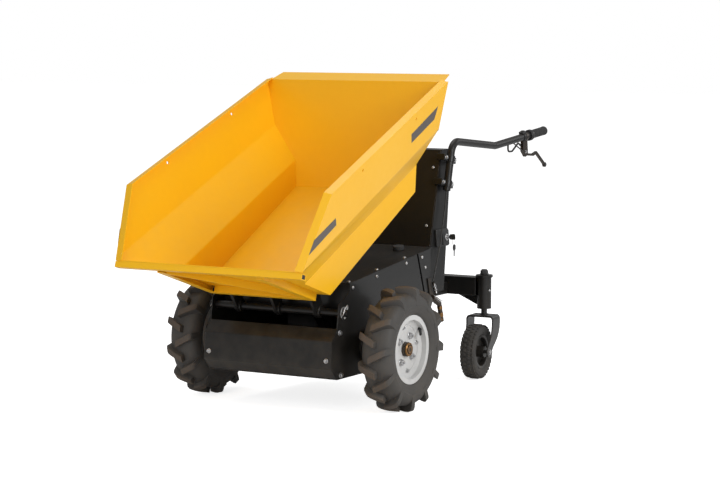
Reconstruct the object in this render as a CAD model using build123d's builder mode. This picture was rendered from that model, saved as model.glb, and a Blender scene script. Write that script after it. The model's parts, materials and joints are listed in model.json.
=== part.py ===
"""Walk-behind battery site dumper: a tipping hopper on a two-wheel drive chassis with rear casters.

Millimetres. +X is the driving and tipping direction, +Y the operator's left, +Z up.
The origin lies on the ground, in the middle of the machine's outline.
A "station" is a distance ahead of the drive axle. The hopper has its own frame, with its origin
on the tipping shaft, its X along the rim and its Z square to it, turned by the stored tip angle.
"""

import os
from math import atan2, cos, degrees, hypot, radians, sin, tan

from build123d import *

os.makedirs("parts", exist_ok=True)

# ---------------------------------------------------------------- frame and common sizes
AXLE_X = 392.75             # drive axle ahead of the origin
SHEET = 3.0                 # folded sheet of the hopper and covers
PLATE = 4.0                 # laser-cut chassis plate
RUNNING_FIT = 0.05          # radial clearance of a shaft in its bore
BIG = 2400.0                # side of the raw block that planes cut down

# ---------------------------------------------------------------- drive wheels
TYRE_RADIUS = 208.5         # over the lugs
TYRE_TIPS = ((-20.0, 208.5), (20.0, 208.5), (40.0, 205.5), (52.0, 184.5))   # over the lugs: side, radius
TYRE_CROWN = ((20.0, 193.5), (40.0, 189.0), (51.0, 175.0), (56.0, 155.0))   # between the lugs
TYRE_DISH = ((56.0, 155.0), (47.0, 123.0), (37.5, 115.0))
LUGS_A_SIDE = 12
LUG_SPAN = (-8.0, 52.0)     # side distances of a lug's inner and outer ends
LUG_LEAD = 32.0             # its inner end runs ahead of its outer end
LUG_WIDTH = 22.8            # round the tyre
LUG_ROOT = 165.0            # radius it grows from, inside the tyre
TYRE_SIDES = 2 * LUGS_A_SIDE    # one flat to a lug
WHEEL_Y = 379.0             # half track
BEAD_RADIUS = 101.6
RIM_FLANGE_RADIUS = 115.0
RIM_HALF_WIDTH = 41.0
RIM_SHEET = 3.5
RIM_WELL_RADIUS = 84.0
RIM_WELL = (-18.0, -12.0, 14.0, 20.0)   # side distances where the well's slopes begin and end
DISC_OFFSET = 14.0          # outer face of the wheel disc, from the wheel's middle plane
DISC_PLATE = 4.0
DISC_BORE = 24.0
DISC_FIT = 0.1
HUB_RADIUS = 32.0
HUB_LENGTH = 40.0
HUB_NOSE = 16.0             # length through the disc's bore
AXLE_RADIUS = 15.0
AXLE_INNER_Y = 196.0
AXLE_END_Y = WHEEL_Y + 34.0
HOUSING_RADIUS = 34.0
HOUSING_FLANGE_RADIUS = 56.0
HOUSING_LENGTH = 42.0
HOUSING_FLANGE = 8.0
AXLE_HOLE = 21.0            # radius, in the side plate

# ---------------------------------------------------------------- chassis box
CHASSIS_HALF = 250.0
FLOOR_Z = 120.0
DECK_FRONT = (116.0, 430.0)     # station and height of the deck's front edge, top face
DECK_ANGLE = 7.0                # the deck rises to the rear
TAIL_STATION = -436.0
TAIL_Z = 344.0
REAR_WALL_STATION = -420.0
SEAM = 9.0                      # slot between side plate and tail plate
NOSE = ((198.0, 120.0), (236.0, 160.0), (229.0, 250.0), (196.0, 288.0))   # front cover, station and height
CHEEK = ((184.0, 366.0), (160.0, 378.0), (116.0, 404.0))                  # cheek that holds the shaft
DECK_SLOT = (-66.0, 94.0, 44.0)         # from station, to station, half width
REST_PAD = (-383.0, 150.0, 20.0, 16.0)  # rubber under the hopper: station, side distance, radius, height

# ---------------------------------------------------------------- tipping shaft and hopper
PIVOT_STATION = 157.0
PIVOT_Z = 336.0
SHAFT_RADIUS = 12.5
SHAFT_OVERHANG = 20.0
TIP_STORED = 20.7               # hopper angle ahead of its travelling position
RIM_REAR = (-731.0, 521.0)      # x and z in the hopper frame, as are the next four
RIM_FRONT = (142.0, 498.6)
BACK_FOOT = (-589.0, 167.0)
FLOOR_FRONT = (47.0, 89.0)
FLOOR_SLOPE = 0.1228
LIP = (333.0, 316.5)
RIM_REAR_HALF = 367.0
TIP_FLARE = ((0.0366, 0.242), (0.064, 0.78), (0.010, 0.0443))  # widening per x, per z: upper, middle, low
MID_ANCHOR = (-632.0, 252.0, 264.0)
LOW_ANCHOR = (-589.0, 243.0, 164.0)
HEM = 27.0                      # folded edge of the side walls
BACK_HEM = 66.0
BACK_HEM_HALF = 347.0           # half width where it leaves the back wall
BACK_HEM_MITRE = 10.0
LIP_DEPTH = 20.0
LIP_LENGTH = 25.0
BOARD_HOLES = (-78.0, -476.0)   # bolt holes for extension boards, along the rim
BOARD_HOLE_RADIUS = 5.0
BOARD_HOLE_DROP = 23.0          # below the rim
RIB_Y = 190.0
RIB_DEPTH = 25.0
RIB_WIDTH = 28.0
RIB_LOW = 350.0                 # lower end of the ribs, measured down from the lip
BRACE_WIDTH = 5.0
BRACE_SET_IN = (12.0, 6.0, 2.0)     # from the lip, from the stay and from the ribs
EAR_YS = (-155.0, 0.0, 155.0)
EAR_THICK = 10.0
EAR_RADIUS = 22.0
EAR_FOOT = (-18.0, 42.0)        # where an ear meets the hopper's floor

# ---------------------------------------------------------------- tipping actuator
ACTUATOR_FOOT = (-180.0, 190.0)         # station and height
ACTUATOR_EYE = (-160.0, 64.0)           # hopper frame
ACTUATOR_PIN = 7.0
OPEN_PIN_GAP = 2.0                      # the rod's eye is bored larger than its pin
TUBE_RADIUS = 24.0
TUBE_LENGTH = 236.0
NECK_RADIUS = 12.0                      # between the foot's eye and the tube
NECK_LENGTH = 34.0
ROD_RADIUS = 12.0
ROD_LENGTH = 232.0                      # from the eye's centre
EYE_RADIUS = 16.0
EYE_HALF = 12.0
CLEVIS_GAP = 5.0
CLEVIS_PLATE = 6.0
FOOT_HALF = (24.0, 12.0)                # half length of the foot's plates, at the floor and at the top
FOOT_ABOVE_PIN = 14.0
BRACKET_HALF = (30.0, 16.0, 8.0)        # half length of the bracket's plates, at the hopper, eye and end
BOLT_HEAD = (10.0, 10.0)                # radius and length of the bolt heads outside the bracket
MOTOR_RADIUS = 21.0
MOTOR_OFFSET = 37.0
MOTOR_SPAN = (62.0, 212.0)              # along the tube

# ---------------------------------------------------------------- control column
COLUMN_FRONT = ((-402.0, 340.0), (-595.0, 833.0))    # station, height
COLUMN_BACK = ((-539.0, 340.0), (-668.0, 833.0))
COLUMN_HALF_LOW = 246.0
COLUMN_HALF_TOP = 205.0

# ---------------------------------------------------------------- handlebars
BAR_RADIUS = 13.5
BAR_Y = 236.0
BAR_ROUTE = ((-576.0, 690.0), (-618.0, 863.0), (-949.0, 831.0), (-1352.0, 869.0))
BAR_BEND = 48.0
GRIP_RADIUS = 17.0
GRIP_LENGTH = 115.0
GRIP_END = 5.0                              # closed end of a grip, past the bar
COLLAR_LENGTH = 22.0
COLLAR_RADIUS = 21.0
CLAMP_HEIGHTS = (715.0, 801.0)
CLAMP_HALF_LENGTH = 44.0
CLAMP_HALF_HEIGHT = 11.0
STRAP = 3.0

# ---------------------------------------------------------------- brake and key, left side only
LEVER_COLLAR = (-1187.0, 16.0)              # station, width
LEVER_BORE = 80.0                           # length cleared for the bar
LEVER_HALF = 6.0
LEVER_BRACKET = ((-1170.0, 842.0), (-1204.0, 842.0), (-1211.0, 786.0), (-1192.0, 778.0), (-1168.0, 800.0))
LEVER_ROUTE = ((-1196.0, 787.0), (-1260.0, 782.0), (-1287.0, 790.0), (-1363.0, 739.0))
LEVER_RADIUS = 4.5
LEVER_BALL = 9.0
LEAD_ROUTE = ((-1062.0, 836.0), (-1062.0, 803.0), (-1096.0, 803.0), (-1146.0, 832.0), (-1166.0, 821.0))
LEAD_RADIUS = 3.5
LEAD_SET_IN = -4.0                          # off the bar's middle plane, towards the machine
LEAD_BEND = 12.0
CABLE_RADIUS = 2.5
CABLE_UPPER = ((-1084.0, 836.0), (-1165.0, 801.5))
CABLE_SET_OUT = 4.5
CABLE_LOWER = (                              # station, side distance, height
    (-577.0, 236.0, 700.0), (-566.0, 236.0, 640.0), (-508.0, 249.5, 512.0), (-442.0, 256.0, 384.0))
CABLE_BENDS = 120.0
KEY_PLATE = (-543.0, 525.0, 86.0, 62.0, 13.0)   # station, height, length, height, thickness
KEY_STATION = -562.0
KEY_NECK = (8.0, 11.0)                      # radius, length
KEY_HEAD = (3.0, 26.0, 22.0)                # thickness, length, height
BRAKE_Y = 256.0
BRAKE_ARM = (
    (-428.0, 394.0), (-408.0, 394.0), (-424.0, 334.0), (-462.0, 300.0), (-472.0, 310.0), (-442.0, 344.0))
BRAKE_RODS = (                              # from station and height, to station and height, radius
    ((-442.0, 378.0), (-462.0, 336.0), 5.0),
    ((-432.0, 326.0), (-486.0, 298.0), 10.0),
    ((-486.0, 300.0), (-505.0, 234.0), 8.5),
)

# ---------------------------------------------------------------- rear beam and casters
POST_STATION = -801.0
POST_Y = 271.0
POST_RADIUS = 26.0
POST_FIT = 0.1
POST_Z = (248.0, 362.0)
CAP_RADIUS = 31.0
CAP_HEIGHT = 9.0
BEAM_Z = (296.0, 362.0)
BEAM_HALF_X = 28.0
TUBE_WALL = 4.0
GUSSET_LENGTH = 84.0
GUSSET_DROP = 38.0
ARM_Y = 110.0
ARM_WIDTH = 50.0
STEM_RADIUS = 11.0
STEM_END = 20.0                         # above the cap
STEM_NUT = (17.0, 1.0, 14.0)            # radius, height above the cap, thickness
FORK_TOP_Z = 227.0
FORK_PLATE = 5.0
FORK_HALF = 48.0
FORK_TOP = (-25.0, 37.0)                # ends of the top plate, from the swivel
FORK_FOOT = ((16.0, 4.0), (8.0, -16.0), (-8.0, -16.0), (-18.0, 4.0))    # a leg's end round the wheel's centre
CASTER_TRAIL = 72.0
CASTER_YAW = 5.0
CASTER_RADIUS = 100.0
CASTER_RIM_RADIUS = 62.0
CASTER_CROWN = ((6.0, 100.0), (16.0, 97.0), (26.0, 86.0))       # side distance, radius
CASTER_DISH = ((26.0, 74.0), (20.0, 62.05))
CASTER_SIDES = 28
CASTER_AXLE_RADIUS = 6.0
CASTER_AXLE_END = 8.0                   # past the fork's legs
CASTER_HUB = (20.0, 34.0)               # radius, half length
CASTER_WEB = (4.0, 48.0)                # half thickness, radius
CASTER_SEAT = (22.0, 52.0)              # half width, inner radius

# ---------------------------------------------------------------- derived places
PIVOT_X = AXLE_X + PIVOT_STATION
TILT = radians(TIP_STORED)
HOPPER = Plane(
    origin=(PIVOT_X, 0, PIVOT_Z), x_dir=(cos(TILT), 0, -sin(TILT)), z_dir=(sin(TILT), 0, cos(TILT))
)
SIDES = (("left", 1), ("right", -1))


def finish(part, label):
    """Label a finished piece and write its STEP file."""
    part.label = label
    export_step(part, f"parts/{label}.step")


def at_station(station, height, y=0.0):
    """Return the point at a station, height and side distance."""
    return Vector(AXLE_X + station, y, height)


def in_hopper(x, y, z):
    """Return the world point of a place in the hopper's frame."""
    return HOPPER.from_local_coords(Vector(x, y, z))


def hopper_direction(x, y, z):
    """Return the world direction of a direction in the hopper's frame."""
    return (in_hopper(x, y, z) - in_hopper(0, 0, 0)).normalized()


def hopper_face(point, normal, inset=0.0):
    """Return a plane through a hopper point, facing out, moved in by the inset."""
    out = hopper_direction(*normal)
    return Plane(origin=in_hopper(*point) - out * inset, z_dir=out)


def block_within(faces):
    """Return the block left on the inner side of every face."""
    with BuildPart() as block:
        Box(BIG, BIG, BIG)
        for face in faces:
            split(bisect_by=face, keep=Keep.BOTTOM)
    return block.part


def side_plane(y):
    """Return an upright lengthwise plane whose sketch axes are station and height."""
    return Plane(origin=(AXLE_X, y, 0), x_dir=(1, 0, 0), z_dir=(0, -1, 0))


def deck_height(station):
    """Return the height of the deck's top face at a station."""
    return DECK_FRONT[1] + (DECK_FRONT[0] - station) * tan(radians(DECK_ANGLE))


def polygon_stack(middle, rings, sides):
    """Return the flat-sided solid through rings of side distance and radius, with flats above and below."""
    with BuildPart() as stack:
        for (low, low_radius), (high, high_radius) in zip(rings, rings[1:]):
            for distance, radius in ((low, low_radius), (high, high_radius)):
                with BuildSketch(middle.offset(distance)):
                    RegularPolygon(radius, sides, major_radius=False, rotation=180 / sides)
            loft(ruled=True)
    return stack.part


def flat_sided_tyre(middle, crown, dish, bore, sides):
    """Return a tyre whose crown and hollow sides are turned in flats round its middle plane."""
    mirrored = [(-distance, radius) for distance, radius in reversed(crown)]
    with BuildPart() as tyre:
        add(polygon_stack(middle, (*mirrored, *crown), sides))
        for half in (1, -1):
            hollow = [(half * distance, radius) for distance, radius in dish]
            add(polygon_stack(middle, hollow, sides), mode=Mode.SUBTRACT)
        add(polygon_stack(middle, ((-crown[-1][0], bore), (crown[-1][0], bore)), sides), mode=Mode.SUBTRACT)
    return tyre.part


def lug_ring(middle, half, turn):
    """Return the lugs of one half of a drive tyre, whose inner ends lead as the wheel rolls ahead."""
    inner, outer = (half * distance for distance in LUG_SPAN)
    lead = LUG_LEAD / 2
    reach = LUG_WIDTH / 2
    below = Plane(origin=middle.origin, x_dir=middle.z_dir, z_dir=middle.y_dir)
    with BuildPart() as lug:
        add(polygon_stack(middle, [(half * distance, radius) for distance, radius in TYRE_TIPS], TYRE_SIDES))
        with BuildSketch(below.offset(LUG_ROOT)):
            outline((
                (inner, -lead - reach),
                (inner, reach - lead),
                (outer, lead + reach),
                (outer, lead - reach),
            ))
        extrude(amount=TYRE_RADIUS, mode=Mode.INTERSECT)
    wheel_axis = Axis(middle.origin, middle.z_dir)
    return [lug.part.rotate(wheel_axis, turn + 360 / LUGS_A_SIDE * k) for k in range(LUGS_A_SIDE)]


def outline(points):
    """Add a closed straight outline to the open sketch."""
    Polygon(*points, align=None)


# ================================================================ chassis
seam_front = (TAIL_STATION + 100.0, deck_height(TAIL_STATION + 100.0))
seam_foot = (TAIL_STATION + 50.0, TAIL_Z)
SIDE_OUTLINE = (
    (REAR_WALL_STATION, FLOOR_Z),
    *NOSE,
    *CHEEK,
    DECK_FRONT,
    seam_front,
    seam_foot,
    (REAR_WALL_STATION, TAIL_Z - SEAM),
)
TAIL_OUTLINE = (
    (seam_front[0] - SEAM, deck_height(seam_front[0] - SEAM)),
    (TAIL_STATION, deck_height(TAIL_STATION)),
    (TAIL_STATION, TAIL_Z),
    (seam_foot[0] - SEAM, TAIL_Z),
)
inner_half = CHASSIS_HALF - PLATE

for name, side in SIDES:
    outer_face = side_plane(side * CHASSIS_HALF)
    with BuildPart() as side_plate:
        with BuildSketch(outer_face):
            outline(SIDE_OUTLINE)
            with Locations((0, TYRE_RADIUS)):
                Circle(AXLE_HOLE, mode=Mode.SUBTRACT)
            with Locations((PIVOT_STATION, PIVOT_Z)):
                Circle(SHAFT_RADIUS + RUNNING_FIT, mode=Mode.SUBTRACT)
        extrude(amount=side * PLATE)
    finish(side_plate.part, f"{name}_side_plate")

with BuildPart() as tail_plates:
    for _, side in SIDES:
        with BuildSketch(side_plane(side * CHASSIS_HALF)):
            outline(TAIL_OUTLINE)
        extrude(amount=side * PLATE)
finish(tail_plates.part, "tail_plates")

with BuildPart() as floor_pan:
    with BuildSketch(Plane.XY.offset(FLOOR_Z)):
        with Locations((AXLE_X + (REAR_WALL_STATION + NOSE[0][0]) / 2, 0)):
            Rectangle(NOSE[0][0] - REAR_WALL_STATION, 2 * inner_half)
    extrude(amount=PLATE)
finish(floor_pan.part, "floor_pan")

with BuildPart() as front_cover:
    with BuildSketch(side_plane(inner_half)):
        with BuildLine():
            nose_line = Polyline(*NOSE)
            offset(nose_line, amount=SHEET, side=Side.LEFT)
        make_face()
    extrude(amount=2 * inner_half)
    split(bisect_by=Plane.XY.offset(FLOOR_Z + PLATE), keep=Keep.TOP)
finish(front_cover.part, "front_cover")

rear_wall_height = TAIL_Z - SEAM - FLOOR_Z - PLATE
with BuildPart() as rear_wall:
    with BuildSketch(Plane.XY.offset(FLOOR_Z + PLATE)):
        with Locations((AXLE_X + REAR_WALL_STATION + PLATE / 2, 0)):
            Rectangle(PLATE, 2 * inner_half)
    extrude(amount=rear_wall_height)
finish(rear_wall.part, "rear_wall")

deck_front_drop = 110.0
deck_rear = TAIL_STATION - 20.0
with BuildPart() as deck:
    with BuildSketch(side_plane(inner_half)):
        outline((
            DECK_FRONT,
            (deck_rear, deck_height(deck_rear)),
            (deck_rear, deck_height(deck_rear) - SHEET),
            (DECK_FRONT[0] - SHEET, DECK_FRONT[1] - SHEET),
            (DECK_FRONT[0] - SHEET, DECK_FRONT[1] - deck_front_drop),
            (DECK_FRONT[0], DECK_FRONT[1] - deck_front_drop),
        ))
    extrude(amount=2 * inner_half)
    with BuildSketch(Plane.XY.offset(DECK_FRONT[1] - 2 * SHEET)):
        slot_middle = (DECK_SLOT[0] + DECK_SLOT[1]) / 2
        with Locations((AXLE_X + slot_middle, 0)):
            Rectangle(DECK_SLOT[1] - DECK_SLOT[0], 2 * DECK_SLOT[2])
    extrude(amount=100, mode=Mode.SUBTRACT)
finish(deck.part, "deck")

pad_station, pad_y, pad_radius, pad_height = REST_PAD
deck_up = Vector(sin(radians(DECK_ANGLE)), 0, cos(radians(DECK_ANGLE)))
with BuildPart() as rest_pads:
    for _, side in SIDES:
        pad_seat = at_station(pad_station, deck_height(pad_station), side * pad_y)
        with BuildSketch(Plane(origin=pad_seat, z_dir=deck_up)):
            Circle(pad_radius)
        extrude(amount=pad_height)
finish(rest_pads.part, "rest_pads")

BATTERY = ((-410.0, -215.0), 205.0, 170.0)      # stations, half width, height above the floor pan
with BuildPart() as battery:
    with BuildSketch(Plane.XY.offset(FLOOR_Z + PLATE)):
        with Locations((AXLE_X + sum(BATTERY[0]) / 2, 0)):
            Rectangle(BATTERY[0][1] - BATTERY[0][0], 2 * BATTERY[1])
    extrude(amount=BATTERY[2])
finish(battery.part, "battery")

DRIVE_HALF = (70.0, 190.0, 63.0)
with BuildPart() as drive_unit:
    with BuildSketch(Plane.XY.offset(FLOOR_Z + PLATE)):
        with Locations((AXLE_X, 0)):
            Rectangle(2 * DRIVE_HALF[0], 2 * DRIVE_HALF[1])
    extrude(amount=2 * DRIVE_HALF[2])
finish(drive_unit.part, "drive_unit")

with BuildPart() as axle_housings:
    for name, side in SIDES:
        wheel_side = Plane(origin=at_station(0, TYRE_RADIUS, side * CHASSIS_HALF), z_dir=(0, side, 0))
        with BuildSketch(wheel_side):
            Circle(HOUSING_FLANGE_RADIUS)
            Circle(AXLE_RADIUS + RUNNING_FIT, mode=Mode.SUBTRACT)
        extrude(amount=HOUSING_FLANGE)
        with BuildSketch(wheel_side):
            Circle(HOUSING_RADIUS)
            Circle(AXLE_RADIUS + RUNNING_FIT, mode=Mode.SUBTRACT)
        extrude(amount=HOUSING_LENGTH)
finish(axle_housings.part, "axle_housings")

shaft_end = CHASSIS_HALF + SHAFT_OVERHANG
with BuildPart() as tipping_shaft:
    with BuildSketch(side_plane(shaft_end)):
        with Locations((PIVOT_STATION, PIVOT_Z)):
            Circle(SHAFT_RADIUS)
    extrude(amount=2 * shaft_end)
finish(tipping_shaft.part, "tipping_shaft")

# ================================================================ hopper
(upper_x, upper_z), (middle_x, middle_z), (low_x, low_z) = TIP_FLARE
BACK_LEAN = (BACK_FOOT[0] - RIM_REAR[0]) / (RIM_REAR[1] - BACK_FOOT[1])
RIM_FALL = (RIM_REAR[1] - RIM_FRONT[1]) / (RIM_FRONT[0] - RIM_REAR[0])
WALL_ANGLE = atan2(LIP[1] - FLOOR_FRONT[1], LIP[0] - FLOOR_FRONT[0])


def hopper_ends(inset=0.0):
    """Return the back, front and floor planes, moved in by the inset."""
    return (
        hopper_face((BACK_FOOT[0], 0, BACK_FOOT[1]), (-1, 0, -BACK_LEAN), inset),
        hopper_face((LIP[0], 0, LIP[1]), (sin(WALL_ANGLE), 0, -cos(WALL_ANGLE)), inset),
        hopper_face((FLOOR_FRONT[0], 0, FLOOR_FRONT[1]), (-FLOOR_SLOPE, 0, -1), inset),
    )


def hopper_side(anchor, flare, side, inset=0.0):
    """Return a side facet's plane through its anchor, widening by the two flares."""
    x, y, z = anchor
    return hopper_face((x, side * y, z), (-flare[0], side, -flare[1]), inset)


def upper_half(x, z):
    """Return the half width of the upper side facets at a place in the hopper's frame."""
    return RIM_REAR_HALF + upper_x * (x - RIM_REAR[0]) + upper_z * (z - RIM_REAR[1])


UPPER_ANCHOR = (RIM_REAR[0], RIM_REAR_HALF, RIM_REAR[1])
MOUTH = (
    hopper_face((RIM_REAR[0], 0, RIM_REAR[1]), (RIM_FALL, 0, 1)),
    hopper_face((LIP[0], 0, LIP[1]), (RIM_FRONT[1] - LIP[1], 0, LIP[0] - RIM_FRONT[0])),
)


def hopper_block(inset, mouth):
    """Return the hopper's whole space: a straight-sided trough and the flare above it."""
    ends = hopper_ends(inset)
    flare_sides = []
    trough_sides = []
    for _, side in SIDES:
        flare_sides.append(hopper_side(UPPER_ANCHOR, TIP_FLARE[0], side, inset))
        flare_sides.append(hopper_side(MID_ANCHOR, TIP_FLARE[1], side, inset))
        trough_sides.append(hopper_side(LOW_ANCHOR, TIP_FLARE[2], side, inset))
    trough_top = hopper_face((0, 0, MID_ANCHOR[2]), (0, 0, 1))
    trough = block_within((*ends, *mouth, *trough_sides, trough_top))
    flare = block_within((*ends, *mouth, *flare_sides))
    with BuildPart() as whole:
        add(flare)
        add(trough)
    return whole.part


hopper_outside = hopper_block(0.0, MOUTH)
hopper_inside = hopper_block(SHEET, (hopper_face((0, 0, 2 * RIM_REAR[1]), (0, 0, 1)),))
back_skin, front_skin, floor_skin = hopper_ends(SHEET)
rim_plane = Plane(origin=in_hopper(RIM_REAR[0], 0, RIM_REAR[1]), x_dir=hopper_direction(1, 0, 0),
                  z_dir=hopper_direction(0, 0, 1))

with BuildPart() as hopper_back:
    add(hopper_outside)
    split(bisect_by=back_skin, keep=Keep.TOP)
    with BuildSketch(rim_plane):
        outline((
            (SHEET, BACK_HEM_HALF),
            (0, BACK_HEM_HALF),
            (-BACK_HEM, BACK_HEM_HALF - BACK_HEM_MITRE),
            (-BACK_HEM, BACK_HEM_MITRE - BACK_HEM_HALF),
            (0, -BACK_HEM_HALF),
            (SHEET, -BACK_HEM_HALF),
        ))
    extrude(amount=-SHEET)
finish(hopper_back.part, "hopper_back")

with BuildPart() as hopper_front:
    add(hopper_outside)
    split(bisect_by=back_skin, keep=Keep.BOTTOM)
    split(bisect_by=front_skin, keep=Keep.TOP)
finish(hopper_front.part, "hopper_front")

with BuildPart() as hopper_floor:
    add(hopper_outside)
    split(bisect_by=back_skin, keep=Keep.BOTTOM)
    split(bisect_by=front_skin, keep=Keep.BOTTOM)
    split(bisect_by=floor_skin, keep=Keep.TOP)
finish(hopper_floor.part, "hopper_floor")


def folded_hem(side):
    """Return the folded edge along a side wall's rim and front edge, square to the upper facet."""
    facet_out = Vector(-upper_x, side, -upper_z).normalized()
    corner = Vector(RIM_FRONT[0], side * upper_half(*RIM_FRONT), RIM_FRONT[1])
    rim_line = (corner - Vector(RIM_REAR[0], side * RIM_REAR_HALF, RIM_REAR[1])).normalized()
    front_line = (Vector(LIP[0], side * upper_half(*LIP), LIP[1]) - corner).normalized()
    rim_up = facet_out.cross(rim_line) * -side
    front_out = facet_out.cross(front_line) * -side
    facet = hopper_side(UPPER_ANCHOR, TIP_FLARE[0], side)
    shared = (facet, back_skin, front_skin)
    layers = []
    for inset in (0.0, SHEET):
        rim_face = hopper_face(tuple(corner), tuple(rim_up), inset)
        front_face = hopper_face(tuple(corner), tuple(front_out), inset)
        layers.append(block_within((*shared, rim_face, front_face)))
    with BuildPart() as hem:
        add(layers[0])
        split(bisect_by=hopper_side(UPPER_ANCHOR, TIP_FLARE[0], side, HEM), keep=Keep.TOP)
        add(layers[1], mode=Mode.SUBTRACT)
    return hem.part


for name, side in SIDES:
    half_space = Plane(origin=(0, 0, 0), z_dir=(0, side, 0))
    with BuildPart() as side_wall:
        add(hopper_outside)
        split(bisect_by=back_skin, keep=Keep.BOTTOM)
        split(bisect_by=front_skin, keep=Keep.BOTTOM)
        split(bisect_by=floor_skin, keep=Keep.BOTTOM)
        add(hopper_inside, mode=Mode.SUBTRACT)
        split(bisect_by=half_space, keep=Keep.TOP)
        add(folded_hem(side))
        for x in BOARD_HOLES:
            z = RIM_REAR[1] - RIM_FALL * (x - RIM_REAR[0]) - BOARD_HOLE_DROP
            facet = hopper_side((x, upper_half(x, z), z), TIP_FLARE[0], side)
            with BuildSketch(facet):
                Circle(BOARD_HOLE_RADIUS)
            extrude(amount=2 * SHEET, both=True, mode=Mode.SUBTRACT)
    finish(side_wall.part, f"hopper_{name}_wall")

# The underside frame is drawn looking along the machine's width: x up the front wall, y out of the load.
wall_up = hopper_direction(cos(WALL_ANGLE), 0, sin(WALL_ANGLE))
wall_in = hopper_direction(-sin(WALL_ANGLE), 0, cos(WALL_ANGLE))
lip_point = in_hopper(LIP[0], 0, LIP[1])
with BuildPart() as hopper_lip:
    with BuildSketch(Plane(origin=lip_point, x_dir=wall_up, z_dir=(0, -1, 0))):
        with Locations((-LIP_LENGTH / 2, -LIP_DEPTH / 2)):
            Rectangle(LIP_LENGTH, LIP_DEPTH)
            Rectangle(LIP_LENGTH - 2 * SHEET, LIP_DEPTH - 2 * SHEET, mode=Mode.SUBTRACT)
    extrude(amount=upper_half(*LIP), both=True)
finish(hopper_lip.part, "hopper_lip")

with BuildPart() as hopper_ribs:
    for _, side in SIDES:
        rib_start = lip_point - wall_up * LIP_LENGTH + Vector(0, side * RIB_Y, 0)
        with BuildSketch(Plane(origin=rib_start, x_dir=(0, 1, 0), z_dir=wall_up)):
            with Locations((0, -RIB_DEPTH / 2)):
                Rectangle(RIB_WIDTH, RIB_DEPTH)
            with Locations((-side * SHEET, -RIB_DEPTH / 2)):
                Rectangle(RIB_WIDTH, RIB_DEPTH - 2 * SHEET, mode=Mode.SUBTRACT)
        extrude(amount=LIP_LENGTH - RIB_LOW)
finish(hopper_ribs.part, "hopper_ribs")

stay_half = RIB_Y - RIB_WIDTH / 2
brace_top = (-LIP_LENGTH - BRACE_SET_IN[0], stay_half - BRACE_SET_IN[2])
brace_low = (RIB_WIDTH + BRACE_SET_IN[1] - RIB_LOW, BRACE_SET_IN[2] - stay_half)
brace_angle = degrees(atan2(brace_top[1] - brace_low[1], brace_top[0] - brace_low[0]))
brace_run = hypot(brace_top[0] - brace_low[0], brace_top[1] - brace_low[1])
with BuildPart() as hopper_stays:
    with BuildSketch(Plane(origin=lip_point - wall_up * RIB_LOW, x_dir=(0, 1, 0), z_dir=wall_up)):
        with Locations((0, -RIB_DEPTH / 2)):
            Rectangle(2 * stay_half, RIB_DEPTH)
            Rectangle(2 * stay_half, RIB_DEPTH - 2 * SHEET, mode=Mode.SUBTRACT)
    extrude(amount=RIB_WIDTH)
    with BuildSketch(Plane(origin=lip_point, x_dir=wall_up, z_dir=-wall_in)):
        with Locations(((brace_top[0] + brace_low[0]) / 2, (brace_top[1] + brace_low[1]) / 2)):
            Rectangle(brace_run, BRACE_WIDTH, rotation=brace_angle)
    extrude(amount=RIB_DEPTH)
finish(hopper_stays.part, "hopper_stays")


def underside(x, drop=0.0):
    """Return the hopper-frame point under the hopper floor at x, lower by the drop."""
    return (x, FLOOR_FRONT[1] - FLOOR_SLOPE * (x - FLOOR_FRONT[0]) - drop)


HOPPER_SIDE = Plane(origin=(PIVOT_X, 0, PIVOT_Z), x_dir=hopper_direction(1, 0, 0), z_dir=(0, -1, 0))
with BuildPart() as pivot_ears:
    for y in EAR_YS:
        with BuildSketch(Plane(origin=HOPPER_SIDE.origin + Vector(0, y + EAR_THICK / 2, 0),
                               x_dir=HOPPER_SIDE.x_dir, z_dir=HOPPER_SIDE.z_dir)):
            with BuildSketch(mode=Mode.PRIVATE) as ear_shape:
                Circle(EAR_RADIUS)
                with BuildLine():
                    Polyline((0, 0), underside(EAR_FOOT[0]), underside(EAR_FOOT[1]), close=True)
                make_face()
                make_hull()
            add(ear_shape.sketch)
            Circle(SHAFT_RADIUS + RUNNING_FIT, mode=Mode.SUBTRACT)
        extrude(amount=EAR_THICK)
finish(pivot_ears.part, "pivot_ears")

# ================================================================ tipping actuator
eye_x, eye_z = ACTUATOR_EYE
eye_point = in_hopper(eye_x, 0, eye_z)
foot_point = at_station(*ACTUATOR_FOOT)
stroke_line = (eye_point - foot_point).normalized()
stroke_length = (eye_point - foot_point).length
along_stroke = Plane(origin=foot_point, x_dir=(0, 1, 0), z_dir=stroke_line)
eye_root = EYE_RADIUS - 3

with BuildPart() as actuator_body:
    with BuildSketch(Plane(origin=foot_point + Vector(0, EYE_HALF, 0), z_dir=(0, -1, 0))):
        Circle(EYE_RADIUS)
        Circle(ACTUATOR_PIN + RUNNING_FIT, mode=Mode.SUBTRACT)
    extrude(amount=2 * EYE_HALF)
    with BuildSketch(along_stroke.offset(eye_root)):
        Circle(NECK_RADIUS)
    extrude(amount=NECK_LENGTH - eye_root)
    with BuildSketch(along_stroke.offset(NECK_LENGTH)):
        Circle(TUBE_RADIUS)
    extrude(amount=TUBE_LENGTH - NECK_LENGTH)
    with BuildSketch(along_stroke.offset(MOTOR_SPAN[0])):
        with Locations((MOTOR_OFFSET, 0)):
            Circle(MOTOR_RADIUS)
    extrude(amount=MOTOR_SPAN[1] - MOTOR_SPAN[0])
    with BuildSketch(along_stroke.offset(TUBE_LENGTH)):
        Circle(ROD_RADIUS + RUNNING_FIT)
    extrude(amount=NECK_LENGTH + 10 - TUBE_LENGTH, mode=Mode.SUBTRACT)
finish(actuator_body.part, "actuator_body")

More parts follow.
